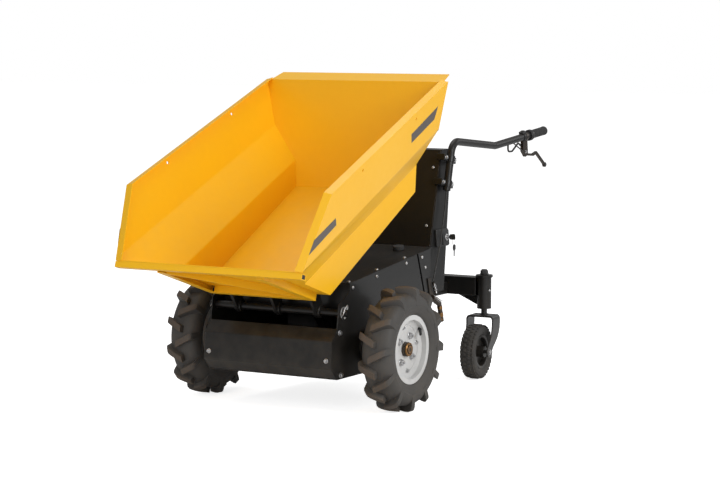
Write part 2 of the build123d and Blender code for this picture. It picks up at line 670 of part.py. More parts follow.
with BuildPart() as actuator_rod:
    with BuildSketch(along_stroke.offset(stroke_length - eye_root)):
        Circle(ROD_RADIUS)
    extrude(amount=eye_root - ROD_LENGTH)
    with BuildSketch(Plane(origin=eye_point + Vector(0, EYE_HALF, 0), z_dir=(0, -1, 0))):
        Circle(EYE_RADIUS)
        Circle(ACTUATOR_PIN + OPEN_PIN_GAP, mode=Mode.SUBTRACT)
    extrude(amount=2 * EYE_HALF)
finish(actuator_rod.part, "actuator_rod")

clevis_half = EYE_HALF + CLEVIS_GAP
pin_half = clevis_half + CLEVIS_PLATE + 4
with BuildPart() as actuator_foot:
    for _, side in SIDES:
        with BuildSketch(side_plane(side * clevis_half)):
            outline((
                (ACTUATOR_FOOT[0] - FOOT_HALF[0], FLOOR_Z + PLATE),
                (ACTUATOR_FOOT[0] + FOOT_HALF[0], FLOOR_Z + PLATE),
                (ACTUATOR_FOOT[0] + FOOT_HALF[1], ACTUATOR_FOOT[1] + FOOT_ABOVE_PIN),
                (ACTUATOR_FOOT[0] - FOOT_HALF[1], ACTUATOR_FOOT[1] + FOOT_ABOVE_PIN),
            ))
        extrude(amount=-side * CLEVIS_PLATE)
    with BuildSketch(side_plane(pin_half)):
        with Locations(ACTUATOR_FOOT):
            Circle(ACTUATOR_PIN)
    extrude(amount=2 * pin_half)
finish(actuator_foot.part, "actuator_foot")

with BuildPart() as hopper_bracket:
    for _, side in SIDES:
        with BuildSketch(Plane(origin=HOPPER_SIDE.origin + Vector(0, side * clevis_half, 0),
                               x_dir=HOPPER_SIDE.x_dir, z_dir=HOPPER_SIDE.z_dir)):
            outline((
                underside(eye_x - BRACKET_HALF[0]),
                underside(eye_x + BRACKET_HALF[0]),
                (eye_x + BRACKET_HALF[1], eye_z),
                (eye_x + BRACKET_HALF[2], eye_z - EYE_RADIUS),
                (eye_x - BRACKET_HALF[2], eye_z - EYE_RADIUS),
                (eye_x - BRACKET_HALF[1], eye_z),
            ))
        extrude(amount=-side * CLEVIS_PLATE)
        with BuildSketch(Plane(origin=eye_point + Vector(0, side * clevis_half, 0), z_dir=(0, side, 0))):
            Circle(BOLT_HEAD[0])
        extrude(amount=BOLT_HEAD[1])
finish(hopper_bracket.part, "hopper_bracket")

# ================================================================ control column
(front_foot, front_foot_z), (front_top, front_top_z) = COLUMN_FRONT
(back_foot, _), (back_top, _) = COLUMN_BACK
column_height = front_top_z - front_foot_z
side_lean = (COLUMN_HALF_LOW - COLUMN_HALF_TOP) / column_height


def column_faces(inset=0.0):
    """Return the column's front, back, left, right, top and foot planes, moved in by the inset."""
    data = (
        (at_station(front_foot, front_foot_z), (column_height, 0, front_foot - front_top)),
        (at_station(back_foot, front_foot_z), (-column_height, 0, back_top - back_foot)),
        (at_station(0, front_foot_z, COLUMN_HALF_LOW), (0, 1, side_lean)),
        (at_station(0, front_foot_z, -COLUMN_HALF_LOW), (0, -1, side_lean)),
        (at_station(0, front_top_z), (0, 0, 1)),
        (at_station(0, front_foot_z), (0, 0, -1)),
    )
    faces = []
    for point, normal in data:
        out = Vector(*normal).normalized()
        faces.append(Plane(origin=point - out * inset, z_dir=out))
    return faces


front_skin, back_skin, left_skin, right_skin, top_skin, foot_skin = column_faces(SHEET)
column_block = block_within(column_faces())
with BuildPart() as column_casing:
    add(column_block)
    split(bisect_by=left_skin, keep=Keep.BOTTOM)
    split(bisect_by=right_skin, keep=Keep.BOTTOM)
    add(block_within((front_skin, back_skin, top_skin, foot_skin)), mode=Mode.SUBTRACT)
finish(column_casing.part, "column_casing")

for name, skin in (("left", left_skin), ("right", right_skin)):
    with BuildPart() as column_side:
        add(column_block)
        split(bisect_by=skin, keep=Keep.TOP)
    finish(column_side.part, f"column_{name}_side")

# ================================================================ handlebars
def bar_point(station, height, side=1, stand_off=0.0):
    """Return a point in a handlebar's upright plane, moved out by the stand-off."""
    return at_station(station, height, side * (BAR_Y + stand_off))


GRIP_DIRECTION = (bar_point(*BAR_ROUTE[3]) - bar_point(*BAR_ROUTE[2])).normalized()


def grip_base(side):
    """Return the plane across a bar where its grip begins, facing the bar's end."""
    return Plane(origin=bar_point(*BAR_ROUTE[3], side) - GRIP_DIRECTION * (GRIP_LENGTH - GRIP_END),
                 z_dir=GRIP_DIRECTION)


def rod_between(start, end, radius):
    """Return a round rod from one point to another."""
    with BuildPart() as rod:
        with BuildSketch(Plane(origin=start, z_dir=end - start)):
            Circle(radius)
        extrude(amount=(end - start).length)
    return rod.part


def bent_rod(points, bend, radius):
    """Return a round rod through the points, with tangent arcs at its corners."""
    with BuildPart() as rod:
        with BuildLine():
            FilletPolyline(*points, radius=bend)
        with BuildSketch(Plane(origin=points[0], z_dir=points[1] - points[0])):
            Circle(radius)
        sweep()
    return rod.part


switch_lead_line = [bar_point(*place, stand_off=LEAD_SET_IN) for place in LEAD_ROUTE]
upper_cable_line = [bar_point(*place, stand_off=CABLE_SET_OUT) for place in CABLE_UPPER]
for name, side in SIDES:
    bar_foot, bar_bend, bar_dip = (bar_point(*place, side) for place in BAR_ROUTE[:3])
    bar_tip = bar_point(*BAR_ROUTE[3], side)
    with BuildPart() as handlebar:
        with BuildLine():
            FilletPolyline(bar_foot, bar_bend, bar_dip, bar_tip, radius=BAR_BEND)
        with BuildSketch(Plane(origin=bar_foot, z_dir=bar_bend - bar_foot)):
            Circle(BAR_RADIUS)
            Circle(BAR_RADIUS - SHEET, mode=Mode.SUBTRACT)
        sweep()
        if side == 1:
            add(rod_between(*switch_lead_line[:2], LEAD_RADIUS + RUNNING_FIT), mode=Mode.SUBTRACT)
            add(rod_between(*upper_cable_line, CABLE_RADIUS + RUNNING_FIT), mode=Mode.SUBTRACT)
    finish(handlebar.part, f"{name}_handlebar")

with BuildPart() as handle_clamps:
    for _, side in SIDES:
        bar_foot, bar_bend = (bar_point(*place, side) for place in BAR_ROUTE[:2])
        for height in CLAMP_HEIGHTS:
            along = (height - bar_foot.Z) / (bar_bend.Z - bar_foot.Z)
            centre = bar_foot + (bar_bend - bar_foot) * along
            clamp_plane = Plane(origin=centre, x_dir=(0, side, 0), z_dir=bar_bend - bar_foot)
            with BuildSketch(clamp_plane.offset(-CLAMP_HALF_HEIGHT)):
                Circle(BAR_RADIUS + STRAP)
                with Locations((-BAR_RADIUS - STRAP, 0)):
                    Rectangle(2 * (BAR_RADIUS + STRAP), 2 * CLAMP_HALF_LENGTH)
                Circle(BAR_RADIUS, mode=Mode.SUBTRACT)
            extrude(amount=2 * CLAMP_HALF_HEIGHT)
    add(column_block, mode=Mode.SUBTRACT)
finish(handle_clamps.part, "handle_clamps")

with BuildPart() as grips:
    for _, side in SIDES:
        with BuildSketch(grip_base(side)):
            Circle(GRIP_RADIUS)
        extrude(amount=GRIP_LENGTH)
        with BuildSketch(grip_base(side)):
            Circle(BAR_RADIUS)
        extrude(amount=GRIP_LENGTH - GRIP_END, mode=Mode.SUBTRACT)
finish(grips.part, "grips")

with BuildPart() as throttle_collars:
    for _, side in SIDES:
        with BuildSketch(grip_base(side).offset(-COLLAR_LENGTH - 1)):
            Circle(COLLAR_RADIUS)
            Circle(BAR_RADIUS, mode=Mode.SUBTRACT)
        extrude(amount=COLLAR_LENGTH)
finish(throttle_collars.part, "throttle_collars")

# ================================================================ brake and key
collar_run = (LEVER_COLLAR[0] - BAR_ROUTE[2][0]) / (BAR_ROUTE[3][0] - BAR_ROUTE[2][0])
lever_collar = bar_point(*BAR_ROUTE[2]) * (1 - collar_run) + bar_point(*BAR_ROUTE[3]) * collar_run
with BuildPart() as brake_lever:
    with BuildSketch(side_plane(BAR_Y + LEVER_HALF)):
        outline(LEVER_BRACKET)
    extrude(amount=2 * LEVER_HALF)
    with BuildSketch(Plane(origin=lever_collar - GRIP_DIRECTION * LEVER_COLLAR[1] / 2, z_dir=GRIP_DIRECTION)):
        Circle(BAR_RADIUS + STRAP + 1)
    extrude(amount=LEVER_COLLAR[1])
    with BuildSketch(Plane(origin=lever_collar - GRIP_DIRECTION * LEVER_BORE / 2, z_dir=GRIP_DIRECTION)):
        Circle(BAR_RADIUS)
    extrude(amount=LEVER_BORE, mode=Mode.SUBTRACT)
    with BuildSketch(side_plane(BAR_Y + LEVER_RADIUS)):
        for (x0, z0), (x1, z1) in zip(LEVER_ROUTE, LEVER_ROUTE[1:]):
            with Locations(((x0 + x1) / 2, (z0 + z1) / 2)):
                SlotCenterToCenter(hypot(x1 - x0, z1 - z0), 2 * LEVER_RADIUS,
                                   rotation=degrees(atan2(z1 - z0, x1 - x0)))
        with Locations(LEVER_ROUTE[-1]):
            Circle(LEVER_BALL)
    extrude(amount=2 * LEVER_RADIUS)
finish(brake_lever.part, "brake_lever")

finish(bent_rod(switch_lead_line, LEAD_BEND, LEAD_RADIUS), "switch_lead")
finish(rod_between(*upper_cable_line, CABLE_RADIUS), "brake_cable_upper")
lower_cable_line = [at_station(station, height, y) for station, y, height in CABLE_LOWER]
finish(bent_rod(lower_cable_line, CABLE_BENDS, CABLE_RADIUS), "brake_cable_lower")

plate_station, plate_height, plate_length, plate_tall, plate_thick = KEY_PLATE
plate_y = COLUMN_HALF_LOW - side_lean * (plate_height - front_foot_z)
plate_middle = at_station(plate_station, plate_height, plate_y)
key_plane = Plane(origin=plate_middle, x_dir=(-1, 0, 0), z_dir=(0, 1, side_lean))
with BuildPart() as key_switch:
    with BuildSketch(key_plane):
        Rectangle(plate_length, plate_tall)
    extrude(amount=plate_thick)
    with BuildSketch(key_plane.offset(plate_thick)):
        with Locations((plate_station - KEY_STATION, 0)):
            Circle(KEY_NECK[0])
    extrude(amount=KEY_NECK[1])
    with BuildSketch(key_plane.offset(plate_thick + KEY_NECK[1])):
        with Locations((plate_station - KEY_STATION, 0)):
            Rectangle(KEY_HEAD[0], KEY_HEAD[2])
    extrude(amount=KEY_HEAD[1])
finish(key_switch.part, "key_switch")

with BuildPart() as brake_unit:
    with BuildSketch(side_plane(CHASSIS_HALF + PLATE)):
        outline(BRAKE_ARM)
    extrude(amount=PLATE)
    for start, end, radius in BRAKE_RODS:
        add(rod_between(at_station(*start, BRAKE_Y), at_station(*end, BRAKE_Y), radius))
finish(brake_unit.part, "brake_unit")

# ================================================================ rear beam and casters
post_x = AXLE_X + POST_STATION
beam_tall = BEAM_Z[1] - BEAM_Z[0]
with BuildPart() as rear_beam:
    beam_half = POST_Y - POST_RADIUS + TUBE_WALL
    with BuildSketch(Plane.XZ.offset(-beam_half)):
        with Locations((post_x, sum(BEAM_Z) / 2)):
            Rectangle(2 * BEAM_HALF_X, beam_tall)
            Rectangle(2 * (BEAM_HALF_X - TUBE_WALL), beam_tall - 2 * TUBE_WALL, mode=Mode.SUBTRACT)
    extrude(amount=2 * beam_half)
    for _, side in SIDES:
        with Locations((post_x, side * POST_Y, 0)):
            Cylinder(POST_RADIUS + POST_FIT, BIG, mode=Mode.SUBTRACT)
finish(rear_beam.part, "rear_beam")

arm_front = REAR_WALL_STATION
arm_length = arm_front - POST_STATION - BEAM_HALF_X
arm_tall = front_foot_z - BEAM_Z[0]
with BuildPart() as rear_arms:
    for _, side in SIDES:
        with BuildSketch(Plane.YZ.offset(AXLE_X + arm_front)):
            with Locations((side * ARM_Y, (BEAM_Z[0] + front_foot_z) / 2)):
                Rectangle(ARM_WIDTH, arm_tall)
                Rectangle(ARM_WIDTH - 2 * TUBE_WALL, arm_tall - 2 * TUBE_WALL, mode=Mode.SUBTRACT)
        extrude(amount=-arm_length)
finish(rear_arms.part, "rear_arms")

for name, side in SIDES:
    post_base = Plane(origin=(post_x, side * POST_Y, POST_Z[0]), z_dir=(0, 0, 1))
    with BuildPart() as caster_post:
        with BuildSketch(post_base):
            Circle(POST_RADIUS)
        extrude(amount=POST_Z[1] - POST_Z[0])
        with BuildSketch(post_base.offset(POST_Z[1] - POST_Z[0])):
            Circle(CAP_RADIUS)
        extrude(amount=CAP_HEIGHT)
        with BuildSketch(Plane.YZ.offset(post_x - PLATE / 2)):
            outline((
                (side * (POST_Y - POST_RADIUS + 2), BEAM_Z[0]),
                (side * (POST_Y - POST_RADIUS - GUSSET_LENGTH), BEAM_Z[0]),
                (side * (POST_Y - POST_RADIUS + 2), BEAM_Z[0] - GUSSET_DROP),
            ))
        extrude(amount=PLATE)
        with BuildSketch(post_base):
            Circle(STEM_RADIUS + RUNNING_FIT)
        extrude(amount=POST_Z[1] - POST_Z[0] + CAP_HEIGHT, mode=Mode.SUBTRACT)
    finish(caster_post.part, f"{name}_caster_post")

    yaw = radians(side * CASTER_YAW)
    swivel = Plane(origin=(post_x, side * POST_Y, 0), x_dir=(cos(yaw), sin(yaw), 0), z_dir=(0, 0, 1))
    axle_half = FORK_HALF + CASTER_AXLE_END
    with BuildPart() as caster_fork:
        with BuildSketch(swivel.offset(FORK_TOP_Z - FORK_PLATE)):
            with Locations((sum(FORK_TOP) / 2, 0)):
                Rectangle(FORK_TOP[1] - FORK_TOP[0], 2 * FORK_HALF)
        extrude(amount=FORK_PLATE)
        with BuildSketch(swivel.offset(FORK_TOP_Z)):
            Circle(STEM_RADIUS)
        extrude(amount=POST_Z[1] + CAP_HEIGHT + STEM_END - FORK_TOP_Z)
        with BuildSketch(swivel.offset(POST_Z[1] + CAP_HEIGHT + STEM_NUT[1])):
            RegularPolygon(STEM_NUT[0], 6)
        extrude(amount=STEM_NUT[2])
        for leg in (1, -1):
            leg_plane = Plane(
                origin=swivel.from_local_coords(Vector(0, leg * FORK_HALF, 0)),
                x_dir=swivel.x_dir,
                z_dir=-swivel.y_dir,
            )
            with BuildSketch(leg_plane):
                outline((
                    (FORK_TOP[0], FORK_TOP_Z - 1),
                    (FORK_TOP[1], FORK_TOP_Z - 1),
                    *((CASTER_TRAIL + along, CASTER_RADIUS + up) for along, up in FORK_FOOT),
                ))
            extrude(amount=leg * FORK_PLATE)
        with BuildSketch(Plane(
            origin=swivel.from_local_coords(Vector(CASTER_TRAIL, -axle_half, CASTER_RADIUS)),
            z_dir=swivel.y_dir,
        )):
            Circle(CASTER_AXLE_RADIUS)
        extrude(amount=2 * axle_half)
    finish(caster_fork.part, f"{name}_caster_fork")

    wheel_plane = Plane(
        origin=swivel.from_local_coords(Vector(CASTER_TRAIL, 0, CASTER_RADIUS)),
        x_dir=swivel.x_dir,
        z_dir=-swivel.y_dir,
    )
    spin_axis = Axis(wheel_plane.origin, swivel.y_dir)
    profile_plane = Plane(origin=wheel_plane.origin, x_dir=swivel.y_dir, z_dir=-swivel.x_dir)
    rim_bore = CASTER_RIM_RADIUS + RUNNING_FIT
    caster_tyre = flat_sided_tyre(wheel_plane, CASTER_CROWN, CASTER_DISH, rim_bore, CASTER_SIDES)
    finish(caster_tyre, f"{name}_caster_tyre")
    rim_half = (
        (CASTER_HUB[1], CASTER_AXLE_RADIUS + RUNNING_FIT),
        (CASTER_HUB[1], CASTER_HUB[0]),
        (CASTER_WEB[0], CASTER_HUB[0]),
        CASTER_WEB,
        CASTER_SEAT,
        (CASTER_SEAT[0], CASTER_RIM_RADIUS),
    )
    with BuildPart() as caster_rim:
        with BuildSketch(profile_plane):
            outline((*rim_half, *((-distance, radius) for distance, radius in reversed(rim_half))))
        revolve(axis=spin_axis)
    finish(caster_rim.part, f"{name}_caster_rim")

# ================================================================ drive wheels
for name, side in SIDES:
    hub_point = at_station(0, TYRE_RADIUS, side * WHEEL_Y)
    half_section = Plane(origin=hub_point, x_dir=(0, side, 0), z_dir=(-side, 0, 0))
    wheel_axis = Axis(hub_point, (0, 1, 0))
    middle = Plane(origin=hub_point, x_dir=(1, 0, 0), z_dir=(0, 1, 0))
    with BuildPart() as tyre:
        add(flat_sided_tyre(middle, TYRE_CROWN, TYRE_DISH, BEAD_RADIUS + RUNNING_FIT, TYRE_SIDES))
        for half, turn in ((1, 0.0), (-1, 180 / LUGS_A_SIDE)):
            add(lug_ring(middle, half, turn))
    finish(tyre.part, f"{name}_tyre")

    flange_face = RIM_HALF_WIDTH - RIM_SHEET
    with BuildPart() as rim:
        with BuildSketch(half_section):
            with BuildLine():
                seat_line = Polyline(
                    (-flange_face, RIM_FLANGE_RADIUS),
                    (-flange_face, BEAD_RADIUS),
                    (RIM_WELL[0], BEAD_RADIUS),
                    (RIM_WELL[1], RIM_WELL_RADIUS),
                    (RIM_WELL[2], RIM_WELL_RADIUS),
                    (RIM_WELL[3], BEAD_RADIUS),
                    (flange_face, BEAD_RADIUS),
                    (flange_face, RIM_FLANGE_RADIUS),
                )
                offset(seat_line, amount=RIM_SHEET, side=Side.RIGHT, kind=Kind.INTERSECTION)
            make_face()
            with Locations((DISC_OFFSET - DISC_PLATE / 2, (DISC_BORE + RIM_WELL_RADIUS - 1) / 2)):
                Rectangle(DISC_PLATE, RIM_WELL_RADIUS - 1 - DISC_BORE)
        revolve(axis=wheel_axis)
    finish(rim.part, f"{name}_rim")

    axle_line = Plane(origin=at_station(0, TYRE_RADIUS, side * AXLE_INNER_Y), z_dir=(0, side, 0))
    disc_inner = WHEEL_Y + DISC_OFFSET - DISC_PLATE - AXLE_INNER_Y
    with BuildPart() as axle:
        with BuildSketch(axle_line):
            Circle(AXLE_RADIUS)
        extrude(amount=AXLE_END_Y - AXLE_INNER_Y)
        with BuildSketch(axle_line.offset(disc_inner - HUB_LENGTH)):
            Circle(HUB_RADIUS)
        extrude(amount=HUB_LENGTH)
        with BuildSketch(axle_line.offset(disc_inner)):
            Circle(DISC_BORE - DISC_FIT)
        extrude(amount=HUB_NOSE)
    finish(axle.part, f"{name}_axle")
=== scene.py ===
"""Dressed model of a walk-behind battery site dumper: tipping hopper, two drive wheels and two rear casters.

Metres. +X is the driving and tipping direction, +Y the operator's left, +Z up. A "station" is a distance
ahead of the drive axle, and the hopper's own frame has its origin on the tipping shaft, its X along the rim.
"""

import json
import logging
from contextlib import contextmanager
from dataclasses import dataclass
from enum import Enum
from functools import cache
from itertools import pairwise
from math import cos, pi, radians, sin, tau
from typing import Callable, Iterator, Sequence

import bmesh
import bpy
from mathutils import Matrix, Vector


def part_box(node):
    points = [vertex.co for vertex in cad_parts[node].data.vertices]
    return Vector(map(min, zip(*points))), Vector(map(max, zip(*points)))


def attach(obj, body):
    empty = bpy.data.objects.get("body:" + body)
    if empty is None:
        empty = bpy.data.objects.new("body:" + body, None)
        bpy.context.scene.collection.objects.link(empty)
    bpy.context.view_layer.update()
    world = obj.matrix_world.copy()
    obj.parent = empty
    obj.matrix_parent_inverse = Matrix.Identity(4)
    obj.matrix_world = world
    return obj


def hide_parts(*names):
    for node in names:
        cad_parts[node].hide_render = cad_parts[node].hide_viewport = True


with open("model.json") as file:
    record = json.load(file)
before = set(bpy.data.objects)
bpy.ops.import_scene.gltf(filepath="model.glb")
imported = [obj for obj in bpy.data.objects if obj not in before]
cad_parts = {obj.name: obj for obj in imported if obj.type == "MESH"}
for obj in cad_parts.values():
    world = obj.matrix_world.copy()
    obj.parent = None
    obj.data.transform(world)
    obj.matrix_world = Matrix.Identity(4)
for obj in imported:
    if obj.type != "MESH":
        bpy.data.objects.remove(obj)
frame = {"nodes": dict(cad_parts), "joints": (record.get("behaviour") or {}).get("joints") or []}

LOG = logging.getLogger("site_dumper")
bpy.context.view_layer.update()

Piece = bpy.types.Object
Colour = tuple[float, float, float]
Pair = tuple[float, float]


class Side(Enum):
    """The machine's two sides, as the sign of Y."""

    LEFT = 1
    RIGHT = -1

    @property
    def word(self) -> str:
        """The side's name as the CAD nodes spell it."""
        return self.name.lower()


class Body(Enum):
    """The moving groups of the frame that new pieces ride on."""

    CHASSIS = "chassis"
    HOPPER = "hopper"
    ACTUATOR_BODY = "actuator_body"
    ACTUATOR_ROD = "actuator_rod"
    LEFT_WHEEL = "left_wheel"
    RIGHT_WHEEL = "right_wheel"
    LEFT_CASTER = "left_caster"
    RIGHT_CASTER = "right_caster"
    LEFT_CASTER_WHEEL = "left_caster_wheel"
    RIGHT_CASTER_WHEEL = "right_caster_wheel"


def joint_place(name: str) -> Vector:
    """Return the point in the row frame that the named joint's axis passes through."""
    return Vector(next(joint["pos_m"] for joint in frame["joints"] if joint["name"] == name))


def joint_way(name: str) -> Vector:
    """Return the direction of the named joint's axis, of length 1."""
    return Vector(next(joint["axis"] for joint in frame["joints"] if joint["name"] == name)).normalized()


AXLE = joint_place("left_wheel_spin")
TIP_PIVOT = joint_place("hopper_tip")
TIP_STORED = radians(20.7)


def at_station(station: float, height: float, y: float = 0.0) -> Vector:
    """Return the point at a station, a height above the ground and a distance to the operator's left."""
    return Vector((AXLE.x + station, y, height))


def hopper_way(x: float, y: float, z: float) -> Vector:
    """Return in the row frame a direction given along the rim, to the left and square to the rim."""
    return Vector((x * cos(TIP_STORED) + z * sin(TIP_STORED), y, z * cos(TIP_STORED) - x * sin(TIP_STORED)))


def in_hopper(x: float, y: float, z: float) -> Vector:
    """Return in the row frame a point given in the hopper's own frame, from the tipping shaft."""
    return TIP_PIVOT + hopper_way(x, y, z)


def seat(origin: Vector, axis: Vector, twist: float = 0.0) -> Matrix:
    """Return the placing that turns a piece's own Z axis to an axis, with a twist in radians about it."""
    turn = axis.to_track_quat("Z", "Y").to_matrix().to_4x4()
    return Matrix.Translation(origin) @ turn @ Matrix.Rotation(twist, 4, "Z")


# --- modelling moves
class Bench:
    """Modelling moves that every sub-assembly uses.

    Attributes:
        FLAT: bend under which two faces are one.
        FOLD_LENGTH: the shortest edge that counts as a fold.
        FOLD_ANGLES: the bends that count as a fold.
    """

    FLAT = radians(0.4)
    FOLD_LENGTH = 0.06
    FOLD_ANGLES = (radians(6), radians(66))

    @staticmethod
    def hold(*pieces: Piece) -> None:
        """Select these pieces alone and make the first of them active.

        Args:
            pieces: the pieces to work on.
        """
        bpy.ops.object.select_all(action="DESELECT")
        for piece in pieces:
            piece.select_set(True)
        bpy.context.view_layer.objects.active = pieces[0]

    @staticmethod
    @contextmanager
    def editing(piece: Piece, kind: str = "VERT") -> Iterator[None]:
        """Open a piece in edit mode with everything selected, and close it again.

        Args:
            piece: the piece to shape.
            kind: VERT, EDGE or FACE.

        Yields:
            Nothing; the operators act on the piece.
        """
        Bench.hold(piece)
        bpy.ops.object.mode_set(mode="EDIT")
        bpy.ops.mesh.select_mode(type=kind)
        bpy.ops.mesh.select_all(action="SELECT")
        try:
            yield
        finally:
            bpy.ops.object.mode_set(mode="OBJECT")

    @staticmethod
    def pick(piece: Piece, kind: str, test: Callable[..., bool]) -> int:
        """Select in edit mode the elements that pass a test of place, normal or angle.

        Args:
            piece: the piece being edited.
            kind: VERT, EDGE or FACE.
            test: says whether an element is wanted.

        Returns:
            How many were selected.
        """
        bpy.ops.mesh.select_mode(type=kind)
        bpy.ops.mesh.select_all(action="DESELECT")
        mesh = bmesh.from_edit_mesh(piece.data)
        wanted = [part for part in {"VERT": mesh.verts, "EDGE": mesh.edges, "FACE": mesh.faces}[kind] if test(part)]
        for part in wanted:
            part.select_set(True)
        mesh.select_flush_mode()
        bmesh.update_edit_mesh(piece.data)
        return len(wanted)

    @staticmethod
    def settle(*pieces: Piece) -> None:
        """Write the pieces' places into their meshes, so that each object sits at the origin."""
        Bench.hold(*pieces)
        bpy.ops.object.transform_apply(location=True, rotation=True, scale=True)

    @staticmethod
    def close_up(doubles: float = 0.00001) -> None:
        """Merge double points and turn all faces outwards, in edit mode.

        Args:
            doubles: distance under which two points are one.
        """
        bpy.ops.mesh.select_all(action="SELECT")
        bpy.ops.mesh.remove_doubles(threshold=doubles)
        bpy.ops.mesh.normals_make_consistent(inside=False)

    @staticmethod
    def smooth(piece: Piece, angle: float = 32.0) -> None:
        """Shade a piece smooth, except over edges sharper than an angle in degrees."""
        Bench.hold(piece)
        bpy.ops.object.shade_smooth_by_angle(angle=radians(angle))

    @staticmethod
    def eased(piece: Piece, width: float, segments: int = 2, angle: float = 30.0) -> Piece:
        """Round a piece's sharp edges and shade it.

        Args:
            piece: the piece to finish.
            width: width of the rounding.
            segments: steps over the rounding.
            angle: the bluntest edge that is rounded, in degrees.

        Returns:
            The same piece.
        """
        edge = piece.modifiers.new("eased_edges", "BEVEL")
        edge.width = width
        edge.segments = segments
        edge.limit_method = "ANGLE"
        edge.angle_limit = radians(angle)
        Bench.hold(piece)
        bpy.ops.object.modifier_apply(modifier=edge.name)
        Bench.smooth(piece)
        flats = piece.modifiers.new("flat_sheets", "WEIGHTED_NORMAL")
        flats.keep_sharp = True
        bpy.ops.object.modifier_apply(modifier=flats.name)
        return piece

    @staticmethod
    def traced(name: str, points: Sequence[Vector], closed: bool) -> Piece:
        """Return a mesh whose edges follow the points.

        Args:
            name: the piece's name.
            points: the corners, in order.
            closed: whether they bound a face.

        Returns:
            The new piece.
        """
        bpy.ops.object.select_all(action="DESELECT")
        bpy.ops.mesh.primitive_plane_add(size=0.01, location=points[0])
        piece = bpy.context.object
        piece.name = name
        with Bench.editing(piece):
            bpy.ops.mesh.merge(type="CENTER")
            for here, there in pairwise(points):
                bpy.ops.mesh.extrude_vertices_move(TRANSFORM_OT_translate={"value": tuple(there - here)})
            if closed:
                bpy.ops.mesh.select_all(action="SELECT")
                bpy.ops.mesh.edge_face_add()
        Bench.settle(piece)
        return piece

    @staticmethod
    def turned(name: str, profile: Sequence[Pair], place: Matrix = Matrix(), steps: int = 48) -> Piece:
        """Return a piece turned on a lathe.

        Args:
            name: the piece's name.
            profile: radius and height along the axis; it ends on the axis or where it began.
            place: where the piece's own Z axis and origin go.
            steps: flats round the axis.

        Returns:
            The closed piece.
        """
        piece = Bench.traced(name, [Vector((radius, 0.0, height)) for radius, height in profile], False)
        with Bench.editing(piece):
            bpy.ops.mesh.spin(steps=steps, angle=tau, center=(0, 0, 0), axis=(0, 0, 1))
            Bench.close_up(0.00002)
        piece.matrix_world = place
        Bench.settle(piece)
        Bench.smooth(piece)
        return piece

    @staticmethod
    def plate(name: str, outline: Sequence[Vector], depth: Vector, edge: float, segments: int = 2) -> Piece:
        """Return a flat plate cut to an outline.

        Args:
            name: the piece's name.
            outline: its corners on one face.
            depth: the way to the other face.
            edge: rounding of its edges, or 0.
            segments: steps over the rounding.

        Returns:
            The closed piece.
        """
        piece = Bench.traced(name, outline, True)
        with Bench.editing(piece, "FACE"):
            bpy.ops.mesh.extrude_region_move(TRANSFORM_OT_translate={"value": tuple(depth)})
            Bench.close_up()
        if edge:
            return Bench.eased(piece, edge, segments)
        Bench.smooth(piece)
        return piece

    @staticmethod
    def lofted(name: str, rings: Sequence[Sequence[Vector]], edge: float) -> Piece:
        """Return a bar whose section follows a row of rings with as many corners each.

        Args:
            name: the piece's name.
            rings: the sections from end to end.
            edge: rounding of its edges.

        Returns:
            The closed piece.
        """
        piece = Bench.traced(name, rings[0], True)
        with Bench.editing(piece, "FACE"):
            for here, there in pairwise(rings):
                bpy.ops.mesh.extrude_region_move(TRANSFORM_OT_translate={"value": (0, 0, 0)})
                ends = {part.index: part.co.copy() for part in bmesh.from_edit_mesh(piece.data).verts if part.select}
                for index, place in ends.items():
                    corner = min(range(len(here)), key=lambda k: (here[k] - place).length)
                    Bench.pick(piece, "VERT", lambda part: part.index == index)
                    bpy.ops.transform.translate(value=tuple(there[corner] - here[corner]))
                Bench.pick(piece, "FACE", lambda part: {point.index for point in part.verts} == set(ends))
            Bench.close_up()
        return Bench.eased(piece, edge)

    @staticmethod
    def wire(name: str, points: Sequence[Vector], radius: float, smooth: bool = True) -> Piece:
        """Return a round wire or rod bent along the points.

        Args:
            name: the piece's name.
            points: the points it passes or bends towards.
            radius: radius of the wire.
            smooth: whether it bends in curves.

        Returns:
            The closed piece.
        """
        line = bpy.data.curves.new(name, "CURVE")
        line.dimensions = "3D"
        line.bevel_depth = radius
        line.bevel_resolution = 3
        line.resolution_u = 8
        line.use_fill_caps = True
        spline = line.splines.new("NURBS" if smooth else "POLY")
        spline.points.add(len(points) - 1)
        for knot, point in zip(spline.points, points):
            knot.co = (*point, 1.0)
        if smooth:
            spline.order_u = 3
            spline.use_endpoint_u = True
        piece = bpy.data.objects.new(name, line)
        bpy.context.scene.collection.objects.link(piece)
        Bench.hold(piece)
        bpy.ops.object.convert(target="MESH")
        with Bench.editing(piece):
            Bench.close_up()
        Bench.smooth(piece, 50.0)
        return piece

    @staticmethod
    def copies(template: Piece, places: Sequence[Matrix], name: str) -> Piece:
        """Set a copy of a finished piece at each place and join them.

        Args:
            template: the piece made once, round its own Z axis; it is used up.
            places: where the copies go.
            name: the joined piece's name.

        Returns:
            The joined piece.
        """
        made = []
        for place in places:
            Bench.hold(template)
            bpy.ops.object.duplicate(linked=False)
            made.append(bpy.context.object)
            made[-1].matrix_world = place
        bpy.data.objects.remove(template)
        Bench.settle(*made)
        return Bench.joined(made, name)

    @staticmethod
    def joined(pieces: Sequence[Piece], name: str) -> Piece:
        """Join pieces of one finish into one object.

        Args:
            pieces: the pieces to join.
            name: the joined piece's name.

        Returns:
            The joined piece.
        """
        Bench.hold(*pieces)
        if len(pieces) > 1:
            bpy.ops.object.join()
        pieces[0].name = name
        return pieces[0]

